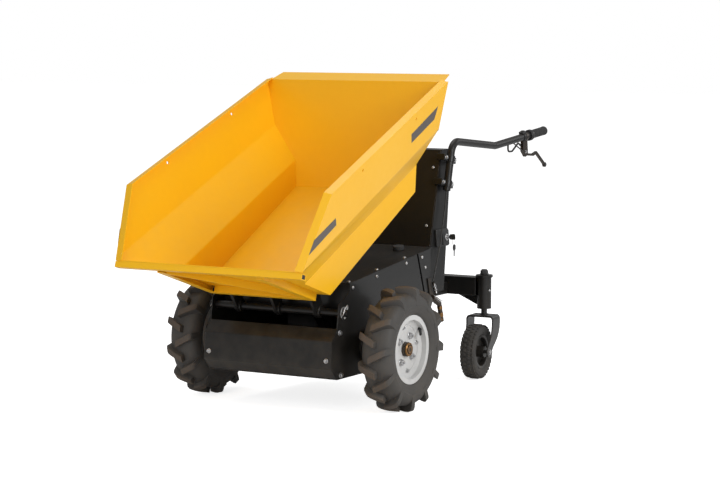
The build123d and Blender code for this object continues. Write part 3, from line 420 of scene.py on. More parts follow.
    @staticmethod
    def refined(node: str, name: str, edge: float, fold: float = 0.0, segments: int = 2) -> Piece:
        """Return a CAD node's shape with merged faces, rounded folds and rounded edges.

        Args:
            node: the CAD node whose shape is copied.
            name: the piece's name.
            edge: rounding of the sharp edges, or 0.
            fold: radius given to blunt sheet-metal folds, or 0.
            segments: steps over the edge rounding.

        Returns:
            The new piece.
        """
        piece = bpy.data.objects.new(name, frame["nodes"][node].data.copy())
        bpy.context.scene.collection.objects.link(piece)
        Bench.hold(piece)
        if piece.data.has_custom_normals:
            bpy.ops.mesh.customdata_custom_splitnormals_clear()
        with Bench.editing(piece):
            Bench.close_up()
            bpy.ops.mesh.dissolve_limited(angle_limit=Bench.FLAT)
            if fold and Bench.pick(piece, "EDGE", Bench.is_fold):
                bpy.ops.mesh.bevel(offset=fold, segments=3, affect="EDGES")
            bpy.ops.mesh.select_all(action="SELECT")
            bpy.ops.mesh.normals_make_consistent(inside=False)
        if edge:
            return Bench.eased(piece, edge, segments)
        Bench.smooth(piece)
        return piece

    @staticmethod
    def is_fold(part: bmesh.types.BMEdge) -> bool:
        """Return whether an edge is a long, blunt fold between two sheet faces.

        Args:
            part: the edge.

        Returns:
            Whether it is such a fold.
        """
        if not part.is_manifold or part.calc_length() < Bench.FOLD_LENGTH:
            return False
        return Bench.FOLD_ANGLES[0] < part.calc_face_angle() < Bench.FOLD_ANGLES[1]


# --- finishes
class Desk:
    """Places and links shader nodes in one tree."""

    def __init__(self, tree: bpy.types.NodeTree) -> None:
        """Work on an empty tree."""
        self.tree = tree

    def put(self, kind: str, **settings: object) -> bpy.types.Node:
        """Add a node.

        Args:
            kind: the node's type name, without its ShaderNode prefix unless it has another.
            settings: its properties.

        Returns:
            The node.
        """
        node = self.tree.nodes.new(kind if kind.startswith("Node") else f"ShaderNode{kind}")
        for key, value in settings.items():
            setattr(node, key, value)
        node.location.x = 180.0 * len(self.tree.nodes)
        return node

    def wire(self, source: bpy.types.NodeSocket, target: bpy.types.NodeSocket) -> None:
        """Link two sockets."""
        self.tree.links.new(source, target)

    def maths(self, operation: str, first: object, second: object = None, clamp: bool = False) -> bpy.types.NodeSocket:
        """Add a Math node on sockets or numbers.

        Args:
            operation: the node's operation.
            first: its first socket or number.
            second: its second socket or number, or None.
            clamp: whether the result stays between 0 and 1.

        Returns:
            The result's socket.
        """
        node = self.put("Math", operation=operation, use_clamp=clamp)
        for index, value in enumerate((first, second)):
            if isinstance(value, bpy.types.NodeSocket):
                self.wire(value, node.inputs[index])
            elif value is not None:
                node.inputs[index].default_value = value
        return node.outputs[0]

    def spread(self, value: bpy.types.NodeSocket, source: Pair, target: Pair) -> bpy.types.NodeSocket:
        """Map a socket's span onto another span.

        Args:
            value: the socket.
            source: its low and high value.
            target: what they become.

        Returns:
            The mapped socket.
        """
        node = self.put("MapRange", clamp=True)
        self.wire(value, node.inputs["Value"])
        for label, number in zip(("From Min", "From Max", "To Min", "To Max"), (*source, *target)):
            node.inputs[label].default_value = number
        return node.outputs["Result"]

    def blended(self, mask: bpy.types.NodeSocket, low: object, high: object) -> bpy.types.NodeSocket:
        """Mix two colours by a mask.

        Args:
            mask: the socket that runs from 0 to 1.
            low: the colour or socket at 0.
            high: the colour or socket at 1.

        Returns:
            The colour's socket.
        """
        node = self.put("Mix", data_type="RGBA")
        self.wire(mask, node.inputs[0])
        for index, value in ((6, low), (7, high)):
            if isinstance(value, bpy.types.NodeSocket):
                self.wire(value, node.inputs[index])
            else:
                node.inputs[index].default_value = (*value, 1.0)
        return node.outputs[2]


class Effects:
    """Shader node groups that several finishes share, each built once."""

    @staticmethod
    def started(name: str, inputs: dict[str, float], outputs: Sequence[str]) -> tuple[Desk, dict, dict]:
        """Begin a group with named number sockets.

        Args:
            name: the group's name.
            inputs: its input names and their usual values.
            outputs: its output names.

        Returns:
            The desk, the input sockets by name and the output sockets by name.
        """
        tree = bpy.data.node_groups.new(name, "ShaderNodeTree")
        for label, value in inputs.items():
            tree.interface.new_socket(label, in_out="INPUT", socket_type="NodeSocketFloat").default_value = value
        for label in outputs:
            tree.interface.new_socket(label, in_out="OUTPUT", socket_type="NodeSocketFloat")
        desk = Desk(tree)
        return desk, desk.put("NodeGroupInput").outputs, desk.put("NodeGroupOutput").inputs

    @staticmethod
    @cache
    def mottle() -> bpy.types.NodeTree:
        """Return the group for slow and fine variation over a surface.

        Returns:
            The group.
        """
        desk, given, result = Effects.started("uneven_tone", {"Scale": 6.0, "Fine Scale": 60.0}, ("Tone", "Fine"))
        spot = desk.put("TexCoord").outputs["Object"]
        for label, output, detail in (("Scale", "Tone", 4.0), ("Fine Scale", "Fine", 6.0)):
            noise = desk.put("TexNoise")
            noise.inputs["Detail"].default_value = detail
            desk.wire(spot, noise.inputs["Vector"])
            desk.wire(given[label], noise.inputs["Scale"])
            desk.wire(desk.spread(noise.outputs[0], (0.3, 0.7), (0.0, 1.0)), result[output])
        return desk.tree

    @staticmethod
    @cache
    def peel() -> bpy.types.NodeTree:
        """Return the group for the relief of sprayed paint, rubber or moulded plastic.

        Returns:
            The group.
        """
        desk, given, result = Effects.started("skin_relief", {"Scale": 300.0, "Pits": 0.4}, ("Height",))
        spot = desk.put("TexCoord").outputs["Object"]
        noise = desk.put("TexNoise")
        cells = desk.put("TexVoronoi", feature="SMOOTH_F1")
        for node in (noise, cells):
            desk.wire(spot, node.inputs["Vector"])
            desk.wire(given["Scale"], node.inputs["Scale"])
        pits = desk.maths("MULTIPLY", cells.outputs["Distance"], given["Pits"])
        desk.wire(desk.maths("ADD", noise.outputs[0], pits), result["Height"])
        return desk.tree

    @staticmethod
    @cache
    def dust() -> bpy.types.NodeTree:
        """Return the group for dust that lies low down and on faces that look up.

        Returns:
            The group.
        """
        inputs = {"Clean Above": 0.5, "On Tops": 0.2, "Low Down": 0.4}
        desk, given, result = Effects.started("settled_dust", inputs, ("Mask",))
        spot = desk.put("TexCoord").outputs["Object"]
        place = desk.put("SeparateXYZ")
        desk.wire(spot, place.inputs[0])
        facing = desk.put("SeparateXYZ")
        desk.wire(desk.put("NewGeometry").outputs["Normal"], facing.inputs[0])
        tops = desk.maths("MULTIPLY", desk.spread(facing.outputs["Z"], (0.3, 1.0), (0.0, 1.0)), given["On Tops"])
        height = desk.maths("DIVIDE", place.outputs["Z"], given["Clean Above"])
        low = desk.maths("MULTIPLY", desk.maths("SUBTRACT", 1.0, height, True), given["Low Down"])
        noise = desk.put("TexNoise")
        noise.inputs["Scale"].default_value = 22.0
        noise.inputs["Detail"].default_value = 7.0
        desk.wire(spot, noise.inputs["Vector"])
        broken = desk.spread(noise.outputs[0], (0.35, 0.7), (0.25, 1.0))
        total = desk.maths("ADD", tops, low)
        desk.wire(desk.maths("MULTIPLY", total, broken, True), result["Mask"])
        return desk.tree

    @staticmethod
    @cache
    def streaks() -> bpy.types.NodeTree:
        """Return the group for fine drawn lines on bare or plated metal.

        Returns:
            The group.
        """
        desk, given, result = Effects.started("drawn_lines", {"Scale": 400.0, "Stretch": 0.08}, ("Height", "Tone"))
        spot = desk.put("TexCoord").outputs["Object"]
        parts = desk.put("SeparateXYZ")
        desk.wire(spot, parts.inputs[0])
        drawn = desk.put("CombineXYZ")
        desk.wire(desk.maths("MULTIPLY", parts.outputs["X"], given["Stretch"]), drawn.inputs["X"])
        desk.wire(parts.outputs["Y"], drawn.inputs["Y"])
        desk.wire(parts.outputs["Z"], drawn.inputs["Z"])
        noise = desk.put("TexNoise")
        noise.inputs["Detail"].default_value = 3.0
        desk.wire(drawn.outputs[0], noise.inputs["Vector"])
        desk.wire(given["Scale"], noise.inputs["Scale"])
        desk.wire(noise.outputs[0], result["Height"])
        desk.wire(desk.spread(noise.outputs[0], (0.3, 0.7), (0.0, 1.0)), result["Tone"])
        return desk.tree

    @staticmethod
    @cache
    def worn_crown() -> bpy.types.NodeTree:
        """Return the group that marks a wheel's outermost ring, where earth and scuffs stay.

        Returns:
            The group.
        """
        inputs = {"Axle X": 0.0, "Axle Z": 0.0, "Clean Inside": 0.19, "Worn Outside": 0.206}
        desk, given, result = Effects.started("worn_crown", inputs, ("Mask",))
        place = desk.put("SeparateXYZ")
        desk.wire(desk.put("TexCoord").outputs["Object"], place.inputs[0])
        across = desk.maths("SUBTRACT", place.outputs["X"], given["Axle X"])
        up = desk.maths("SUBTRACT", place.outputs["Z"], given["Axle Z"])
        squares = desk.maths("ADD", desk.maths("MULTIPLY", across, across), desk.maths("MULTIPLY", up, up))
        radius = desk.maths("SQRT", squares)
        ring = desk.put("MapRange", clamp=True)
        desk.wire(radius, ring.inputs["Value"])
        desk.wire(given["Clean Inside"], ring.inputs["From Min"])
        desk.wire(given["Worn Outside"], ring.inputs["From Max"])
        desk.wire(ring.outputs["Result"], result["Mask"])
        return desk.tree


@dataclass(frozen=True)
class Finish:
    """A surface finish: its colours, gloss and relief.

    Attributes:
        name: the material's name.
        colour: base colour, linear.
        shade: the colour it varies towards.
        tone_scale: size of the slow variation, per metre.
        rough: roughness where the tone is low and high.
        metallic: 1 on bare metal.
        coat: weight of the clear gloss over it.
        coat_rough: roughness of that gloss.
        sheen_level: strength of the bare surface's reflection.
        relief_scale: grain of the relief, per metre.
        relief: depth of the relief.
        pits: share of pits in the relief.
        dust: how far up dust lies, how much on tops and how much low down.
        dust_colour: colour of the dust.
        dust_rough: roughness that dust adds.
        fine_ratio: how much finer the fine variation is than the slow one.
        tone_mix: weights of the slow and the fine variation.
        bump: strength of the relief.
    """

    name: str
    colour: Colour
    shade: Colour
    tone_scale: float = 5.0
    rough: Pair = (0.3, 0.4)
    metallic: float = 0.0
    coat: float = 0.0
    coat_rough: float = 0.1
    sheen_level: float = 0.5
    relief_scale: float = 350.0
    relief: float = 0.0002
    pits: float = 0.3
    dust: tuple[float, float, float] = (0.6, 0.0, 0.0)
    dust_colour: Colour = (0.30, 0.25, 0.19)
    dust_rough: float = 0.35
    fine_ratio: float = 14
    tone_mix: Pair = (0.65, 0.35)
    bump: float = 0.6

    def group(self, desk: Desk, tree: bpy.types.NodeTree, values: dict[str, float]) -> bpy.types.Node:
        """Place a shared effect with this finish's own values.

        Args:
            desk: the material's desk.
            tree: the effect's group.
            values: its input values by name.

        Returns:
            The group node.
        """
        node = desk.put("Group", node_tree=tree)
        for label, value in values.items():
            node.inputs[label].default_value = value
        return node

    def toned(self, desk: Desk) -> tuple[bpy.types.NodeSocket, bpy.types.NodeSocket]:
        """Return the sockets of the varied colour and of its tone.

        Args:
            desk: the material's desk.

        Returns:
            The colour and tone sockets.
        """
        values = {"Scale": self.tone_scale, "Fine Scale": self.tone_scale * self.fine_ratio}
        uneven = self.group(desk, Effects.mottle(), values)
        mixed = desk.maths("ADD", desk.maths("MULTIPLY", uneven.outputs["Tone"], self.tone_mix[0]),
                           desk.maths("MULTIPLY", uneven.outputs["Fine"], self.tone_mix[1]), True)
        return desk.blended(mixed, self.colour, self.shade), mixed

    def relieved(self, desk: Desk) -> bpy.types.NodeSocket:
        """Return the height socket of the finish's relief."""
        values = {"Scale": self.relief_scale, "Pits": self.pits}
        return self.group(desk, Effects.peel(), values).outputs["Height"]

    def soiled(self, desk: Desk, colour: bpy.types.NodeSocket) -> tuple[bpy.types.NodeSocket, bpy.types.NodeSocket]:
        """Lay dust over a colour.

        Args:
            desk: the material's desk.
            colour: the clean colour's socket.

        Returns:
            The dusty colour's socket and the dust's mask.
        """
        values = dict(zip(("Clean Above", "On Tops", "Low Down"), self.dust))
        mask = self.group(desk, Effects.dust(), values).outputs["Mask"]
        return desk.blended(mask, colour, self.dust_colour), mask

    @property
    def material(self) -> bpy.types.Material:
        """The finish's material, built the first time it is asked for.

        Returns:
            The material.
        """
        if self.name in bpy.data.materials:
            return bpy.data.materials[self.name]
        made = bpy.data.materials.new(self.name)
        made.use_nodes = True
        made.node_tree.nodes.clear()
        desk = Desk(made.node_tree)
        shader = desk.put("BsdfPrincipled")
        shader.inputs["Metallic"].default_value = self.metallic
        shader.inputs["Coat Weight"].default_value = self.coat
        shader.inputs["Coat Roughness"].default_value = self.coat_rough
        shader.inputs["Specular IOR Level"].default_value = self.sheen_level
        colour, tone = self.toned(desk)
        rough = desk.spread(tone, (0.0, 1.0), self.rough)
        if any(self.dust[1:]):
            colour, mask = self.soiled(desk, colour)
            rough = desk.maths("ADD", rough, desk.maths("MULTIPLY", mask, self.dust_rough), True)
        desk.wire(colour, shader.inputs["Base Color"])
        desk.wire(rough, shader.inputs["Roughness"])
        bump = desk.put("Bump")
        bump.inputs["Strength"].default_value = self.bump
        bump.inputs["Distance"].default_value = self.relief
        desk.wire(self.relieved(desk), bump.inputs["Height"])
        desk.wire(bump.outputs["Normal"], shader.inputs["Normal"])
        desk.wire(shader.outputs[0], desk.put("OutputMaterial").inputs["Surface"])
        return made


@dataclass(frozen=True)
class PlatedFinish(Finish):
    """Plated or bare metal with fine drawn lines."""

    def relieved(self, desk: Desk) -> bpy.types.NodeSocket:
        """Return the height socket of the drawn lines."""
        return self.group(desk, Effects.streaks(), {"Scale": self.relief_scale}).outputs["Height"]


@dataclass(frozen=True)
class TreadFinish(Finish):
    """Tyre rubber whose outermost ring carries earth and scuffs.

    Attributes:
        axle: the wheel's axle, X and Z.
        crown: radius that is clean and radius that is worn.
        earth: colour of what sticks to the lugs.
        patchy: how much of the crown the earth covers, where the tone is low and high.
    """

    axle: Pair = (0.0, 0.0)
    crown: Pair = (0.196, 0.2075)
    earth: Colour = (0.085, 0.062, 0.045)
    patchy: Pair = (0.55, 1.0)

    def toned(self, desk: Desk) -> tuple[bpy.types.NodeSocket, bpy.types.NodeSocket]:
        """Return the rubber's colour with earth on the crown, and its tone.

        Args:
            desk: the material's desk.

        Returns:
            The colour and tone sockets.
        """
        colour, tone = super().toned(desk)
        values = dict(zip(("Axle X", "Axle Z", "Clean Inside", "Worn Outside"), (*self.axle, *self.crown)))
        ring = self.group(desk, Effects.worn_crown(), values).outputs["Mask"]
        broken = desk.maths("MULTIPLY", ring, desk.spread(tone, (0.1, 0.9), self.patchy))
        return desk.blended(broken, colour, self.earth), tone


HOPPER_PAINT = Finish("hopper_yellow_paint", (0.93, 0.50, 0.004), (0.90, 0.47, 0.003), 3.0, (0.34, 0.46),
                      coat=0.12, coat_rough=0.14, sheen_level=0.35, relief_scale=420.0, relief=0.00012,
                      dust=(0.9, 0.05, 0.06))
STRIPE_FILM = Finish("slate_stripe_film", (0.062, 0.050, 0.043), (0.075, 0.062, 0.054), 8.0, (0.34, 0.44),
                     coat=0.2, relief_scale=700.0, relief=0.00005)
CHASSIS_PAINT = Finish("gloss_black_paint", (0.0050, 0.0050, 0.0052), (0.0078, 0.0077, 0.0075), 4.0, (0.32, 0.42),
                       coat=0.16, coat_rough=0.16, sheen_level=0.30, relief_scale=380.0, relief=0.00016,
                       dust=(0.42, 0.05, 0.12))
TUBE_PAINT = Finish("dark_grey_tube_paint", (0.010, 0.010, 0.0105), (0.014, 0.014, 0.0145), 9.0, (0.36, 0.46),
                    coat=0.05, coat_rough=0.16, sheen_level=0.28, relief_scale=500.0, relief=0.00010,
                    dust=(1.2, 0.05, 0.02))
FORK_PAINT = Finish("satin_black_fork_paint", (0.014, 0.014, 0.0145), (0.020, 0.020, 0.0205), 8.0, (0.30, 0.42),
                    coat=0.1, coat_rough=0.2, relief_scale=420.0, relief=0.00012, dust=(0.30, 0.03, 0.12))
RIM_PAINT = Finish("silver_rim_paint", (0.62, 0.62, 0.615), (0.53, 0.53, 0.525), 7.0, (0.30, 0.42),
                   coat=0.3, relief_scale=450.0, relief=0.00010, dust=(0.33, 0.04, 0.16))
ZINC = PlatedFinish("zinc_plated_steel", (0.62, 0.62, 0.62), (0.46, 0.46, 0.47), 30.0, (0.22, 0.42),
                    metallic=1.0, relief_scale=900.0, relief=0.00005)
DARK_STEEL = PlatedFinish("oiled_dark_steel", (0.06, 0.056, 0.052), (0.10, 0.08, 0.065), 24.0, (0.3, 0.5),
                          metallic=1.0, relief_scale=700.0, relief=0.00008, dust=(0.4, 0.1, 0.1))
BRASS = PlatedFinish("dull_brass", (0.34, 0.19, 0.075), (0.22, 0.11, 0.045), 40.0, (0.28, 0.46),
                     metallic=1.0, relief_scale=800.0, relief=0.00006)
GRIP_RUBBER = Finish("grip_rubber", (0.016, 0.016, 0.017), (0.024, 0.023, 0.022), 16.0, (0.55, 0.7),
                     relief_scale=900.0, relief=0.00020, pits=0.7)
BLACK_PLASTIC = Finish("black_moulded_plastic", (0.014, 0.014, 0.015), (0.022, 0.022, 0.022), 18.0, (0.36, 0.5),
                       relief_scale=1100.0, relief=0.00014, pits=0.8)
HOSE_RUBBER = Finish("hose_rubber", (0.014, 0.014, 0.014), (0.028, 0.027, 0.026), 30.0, (0.45, 0.6),
                     relief_scale=800.0, relief=0.00014)
CASE_PLASTIC = Finish("battery_case_plastic", (0.03, 0.03, 0.034), (0.04, 0.04, 0.043), 10.0, (0.4, 0.55),
                      relief_scale=600.0, relief=0.0002, dust=(0.5, 0.3, 0.2))
TYRE_RUBBER = TreadFinish("drive_tyre_rubber", (0.044, 0.042, 0.040), (0.056, 0.052, 0.048), 9.0, (0.58, 0.74),
                          relief_scale=520.0, relief=0.00035, pits=0.5, dust=(0.42, 0.03, 0.10),
                          axle=(AXLE.x, AXLE.z))
CASTER_RUBBER = Finish("caster_tyre_rubber", (0.028, 0.027, 0.026), (0.040, 0.037, 0.034), 14.0, (0.6, 0.76),
                       relief_scale=600.0, relief=0.00030, dust=(0.24, 0.04, 0.12))


def dressed(piece: Piece, finish: Finish, body: Body, stands_for: Sequence[str] = ()) -> Piece:
    """Give a finished piece its material, its body and the CAD nodes it stands for.

    Args:
        piece: the finished piece.
        finish: its surface finish.
        body: the moving group it rides on.
        stands_for: the CAD nodes it replaces.

    Returns:
        The same piece.
    """
    piece.data.materials.clear()
    piece.data.materials.append(finish.material)
    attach(piece, body.value)
    if stands_for:
        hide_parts(*stands_for)
    LOG.info("%s: %d faces, rides on %s", piece.name, len(piece.data.polygons), body.value)
    return piece


def remade(node: str, finish: Finish, body: Body, edge: float = 0.0009, fold: float = 0.0,
           segments: int = 2) -> Piece:
    """Refine a CAD node's shape and let it stand for the node.

    Args:
        node: the CAD node's name.
        finish: its surface finish.
        body: the moving group it rides on.
        edge: rounding of its sharp edges.
        fold: radius of its sheet-metal folds, or 0.
        segments: steps over the edge rounding.

    Returns:
        The new piece.
    """
    return dressed(Bench.refined(node, f"{node}_finished", edge, fold, segments), finish, body, (node,))


@dataclass(frozen=True)
class HexBolt:
    """A flanged hexagon bolt head, and the plain nut made the same way.

    Attributes:
        across: width across the corners.
        height: height of the hexagon.
        flange: radius of the washer under it.
        washer: thickness of that washer.
        stud: length of thread past the hexagon, or 0.
    """

    across: float = 0.0150
    height: float = 0.0062
    flange: float = 0.0098
    washer: float = 0.0016
    stud: float = 0.0

    def made(self, name: str) -> Piece:
        """Return one bolt head standing on its own Z axis.

        Args:
            name: the piece's name.

        Returns:
            The finished piece.
        """
        sunk = 0.0006
        half = self.across / 2
        rings = [(0.0, -sunk), (self.flange, -sunk), (self.flange, self.washer * 0.7),
                 (self.flange * 0.93, self.washer), (0.0, self.washer)]
        washer = Bench.turned(name, rings, steps=24)
        bpy.ops.object.select_all(action="DESELECT")
        bpy.ops.mesh.primitive_cylinder_add(vertices=6, radius=half, depth=self.height,
                                            location=(0, 0, self.washer + self.height / 2))
        hexagon = bpy.context.object
        with Bench.editing(hexagon, "FACE"):
            Bench.pick(hexagon, "FACE", lambda part: part.normal.z > 0.9)
            bpy.ops.mesh.inset(thickness=half * 0.16, depth=half * 0.10)
            bpy.ops.mesh.inset(thickness=half * 0.30, depth=-half * 0.08)
            if self.stud:
                bpy.ops.mesh.inset(thickness=half * 0.05, depth=0.0)
                bpy.ops.mesh.extrude_region_move(TRANSFORM_OT_translate={"value": (0, 0, self.stud)})
                bpy.ops.mesh.inset(thickness=half * 0.08, depth=half * 0.06)
        Bench.settle(hexagon)
        Bench.eased(hexagon, half * 0.05)
        return Bench.joined([washer, hexagon], name)


@dataclass(frozen=True)
class DomeScrew:
    """A low button-head screw with a hexagon socket.

    Attributes:
        radius: radius of the head.
        height: height of the head.
    """

    radius: float = 0.0058
    height: float = 0.0032

    def made(self, name: str) -> Piece:
        """Return one screw head standing on its own Z axis.

        Args:
            name: the piece's name.

        Returns:
            The finished piece.
        """
        socket = self.radius * 0.42
        floor = self.height * 0.35
        rings = [(0.0, -0.0006), (self.radius, -0.0006), (self.radius, self.height * 0.25),
                 (self.radius * 0.86, self.height * 0.7), (self.radius * 0.6, self.height * 0.96),
                 (socket * 1.1, self.height), (socket, self.height * 0.95), (socket * 0.96, floor), (0.0, floor)]
        return Bench.turned(name, rings, steps=24)


# --- hopper
@dataclass
class Hopper:
    """The tipping hopper of folded sheet, its underside frame and its painted stripes.

    Attributes:
        edge: rounding of cut sheet edges.
        fold: radius of folds.
        rim_rear: X, half width and Z of the rear end of the upper side facet, in the hopper's frame.
        widening: how much the facet widens per X and per Z.
        stripes: corners of the stripes on each side, X and Z in the hopper's frame.
        stripe_thick: height of the stripe film over the facet.
        weld: radius of the weld beads.
        weld_run: start of an ear's welds, X and Z in the hopper's frame, and their pitch.
        web: half width of the crossbar's web, and X and Z of its upper and lower edge in the row frame.
        ear_rows: side distances of the pivot ears.
        lip_end: X and Z of the hollow lip's front edge, in the hopper's frame.
        plug_half: half length and half height of the black plate set in the lip's open end, painted shade for the
            hollow's dark inside.
    """

    edge: float = 0.0011
    fold: float = 0.0045
    rim_rear: tuple[float, float, float] = (-0.731, 0.367, 0.521)
    widening: Pair = (0.0366, 0.242)
    stripes: tuple = (
        ((0.2903, 0.3580), (0.2548, 0.3935), (0.1091, 0.4003), (0.1043, 0.3731)),
        ((-0.4434, 0.4490), (-0.6537, 0.4627), (-0.6262, 0.4249), (-0.4466, 0.4160)),
    )
    stripe_thick: float = 0.0003
    weld: float = 0.0026
    weld_run: tuple[float, float, float] = (-0.012, 0.0912, 0.0052)
    web: tuple[float, Pair, Pair] = (0.1765, (0.6668, 0.4152), (0.6744, 0.3916))
    ear_rows: tuple[float, ...] = (-0.155, 0.0, 0.155)
    lip_end: Pair = (0.333, 0.3165)
    plug_half: Pair = (0.0096, 0.0071)

    def build(self) -> None:
        """Build and dress the hopper's pieces."""
        for node in ("hopper_left_wall", "hopper_right_wall", "hopper_back", "hopper_front", "hopper_floor"):
            remade(node, HOPPER_PAINT, Body.HOPPER, self.edge, self.fold)
        for node in ("hopper_lip", "hopper_ribs", "hopper_stays"):
            remade(node, HOPPER_PAINT, Body.HOPPER, self.edge)
        remade("hopper_bracket", CHASSIS_PAINT, Body.HOPPER, self.edge)
        remade("pivot_ears", CHASSIS_PAINT, Body.HOPPER, self.edge)
        for side in Side:
            self.stripe_film(side)
            self.lip_plug(side)
        self.crossbar_web()
        self.ear_bosses()
        self.welds()

    def facet_point(self, x: float, z: float, side: Side, proud: float) -> Vector:
        """Return a point on the upper side facet.

        Args:
            x: distance along the rim.
            z: distance square to the rim.
            side: the machine's side.
            proud: distance out of the facet.

        Returns:
            The point in the row frame.
        """
        out = self.facet_out(side)
        half = self.rim_rear[1] + self.widening[0] * (x - self.rim_rear[0]) + self.widening[1] * (z - self.rim_rear[2])
        return in_hopper(x, side.value * half, z) + out * proud

    def facet_out(self, side: Side) -> Vector:
        """Return the direction out of the upper side facet."""
        return hopper_way(-self.widening[0], side.value, -self.widening[1]).normalized()

    def stripe_film(self, side: Side) -> None:
        """Lay the stripes on one side.

        Args:
            side: the machine's side.
        """
        out = self.facet_out(side)
        films = []
        for index, corners in enumerate(self.stripes):
            outline = [self.facet_point(x, z, side, self.stripe_thick) for x, z in corners]
            films.append(Bench.plate(f"{side.word}_stripe_{index}", outline, out * (-self.stripe_thick - 0.0002), 0.0))
        dressed(Bench.joined(films, f"hopper_{side.word}_stripes"), STRIPE_FILM, Body.HOPPER)

    def crossbar_web(self) -> None:
        """Close the front of the crossbar between the ribs' lower ends."""
        half, (x_up, z_up), (x_low, z_low) = self.web
        corners = [Vector((x_up, -half, z_up)), Vector((x_up, half, z_up)), Vector((x_low, half, z_low)),
                   Vector((x_low, -half, z_low))]
        web = Bench.plate("crossbar_web", corners, self.slope_up * -0.003, 0.0006)
        dressed(web, HOPPER_PAINT, Body.HOPPER)

    def ear_bosses(self) -> None:
        """Turn the bosses that carry the ears on the tipping shaft."""
        rings = [(0.0134, -0.0120), (0.0188, -0.0120), (0.0198, -0.0110), (0.0198, 0.0110), (0.0188, 0.0120),
                 (0.0134, 0.0120), (0.0134, -0.0120)]
        template = Bench.turned("ear_boss", rings, steps=36)
        places = [seat(Vector((TIP_PIVOT.x, y, TIP_PIVOT.z)), Vector((0, 1, 0))) for y in self.ear_rows]
        dressed(Bench.copies(template, places, "ear_bosses"), CHASSIS_PAINT, Body.HOPPER)

    @property
    def slope_up(self) -> Vector:
        """The direction up the hopper's front slope."""
        return Vector((0.952, 0.0, 0.3056)).normalized()

    def lip_plug(self, side: Side) -> None:
        """Set a black plate just inside one open end of the hollow lip, as painted shade for the dark inside of the
        hollow.

        Args:
            side: the machine's side.
        """
        _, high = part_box("hopper_lip")
        along, across = self.slope_up, Vector((self.slope_up.z, 0.0, -self.slope_up.x))
        middle = in_hopper(self.lip_end[0], 0.0, self.lip_end[1]) - along * 0.0125 + across * 0.010
        middle.y = side.value * (high.y - 0.0012)
        length, height = self.plug_half
        corners = [middle + along * (length * u) + across * (height * v)
                   for u, v in ((-1, -1), (1, -1), (1, 1), (-1, 1))]
        # A black plate just inside the lip's open end: painted shade standing for the dark inside of the hollow.
        shade_plate = Bench.plate(f"{side.word}_lip_plug", corners, Vector((0, -side.value * 0.005, 0)), 0.0008)
        dressed(shade_plate, BLACK_PLASTIC, Body.HOPPER)

    def welds(self) -> None:
        """Run stitch welds where the ears meet the hopper's underside."""
        beads = []
        x, z, pitch = self.weld_run
        start = in_hopper(x, 0.0, z)
        run = hopper_way(1.0, 0.0, -0.1228).normalized()
        for y in self.ear_rows:
            for side in (-1, 1):
                for step in range(9):
                    point = Vector((start.x, y + side * 0.005, start.z)) + run * (pitch * step)
                    beads.append(seat(point, Vector((0, side, -1)).normalized()))
        rings = [(0.0, -0.0008), (self.weld, -0.0004), (self.weld * 0.8, self.weld * 0.5), (0.0, self.weld * 0.75)]
        template = Bench.turned("weld_bead", rings, steps=10)
        dressed(Bench.copies(template, beads, "ear_weld_beads"), CHASSIS_PAINT, Body.HOPPER)


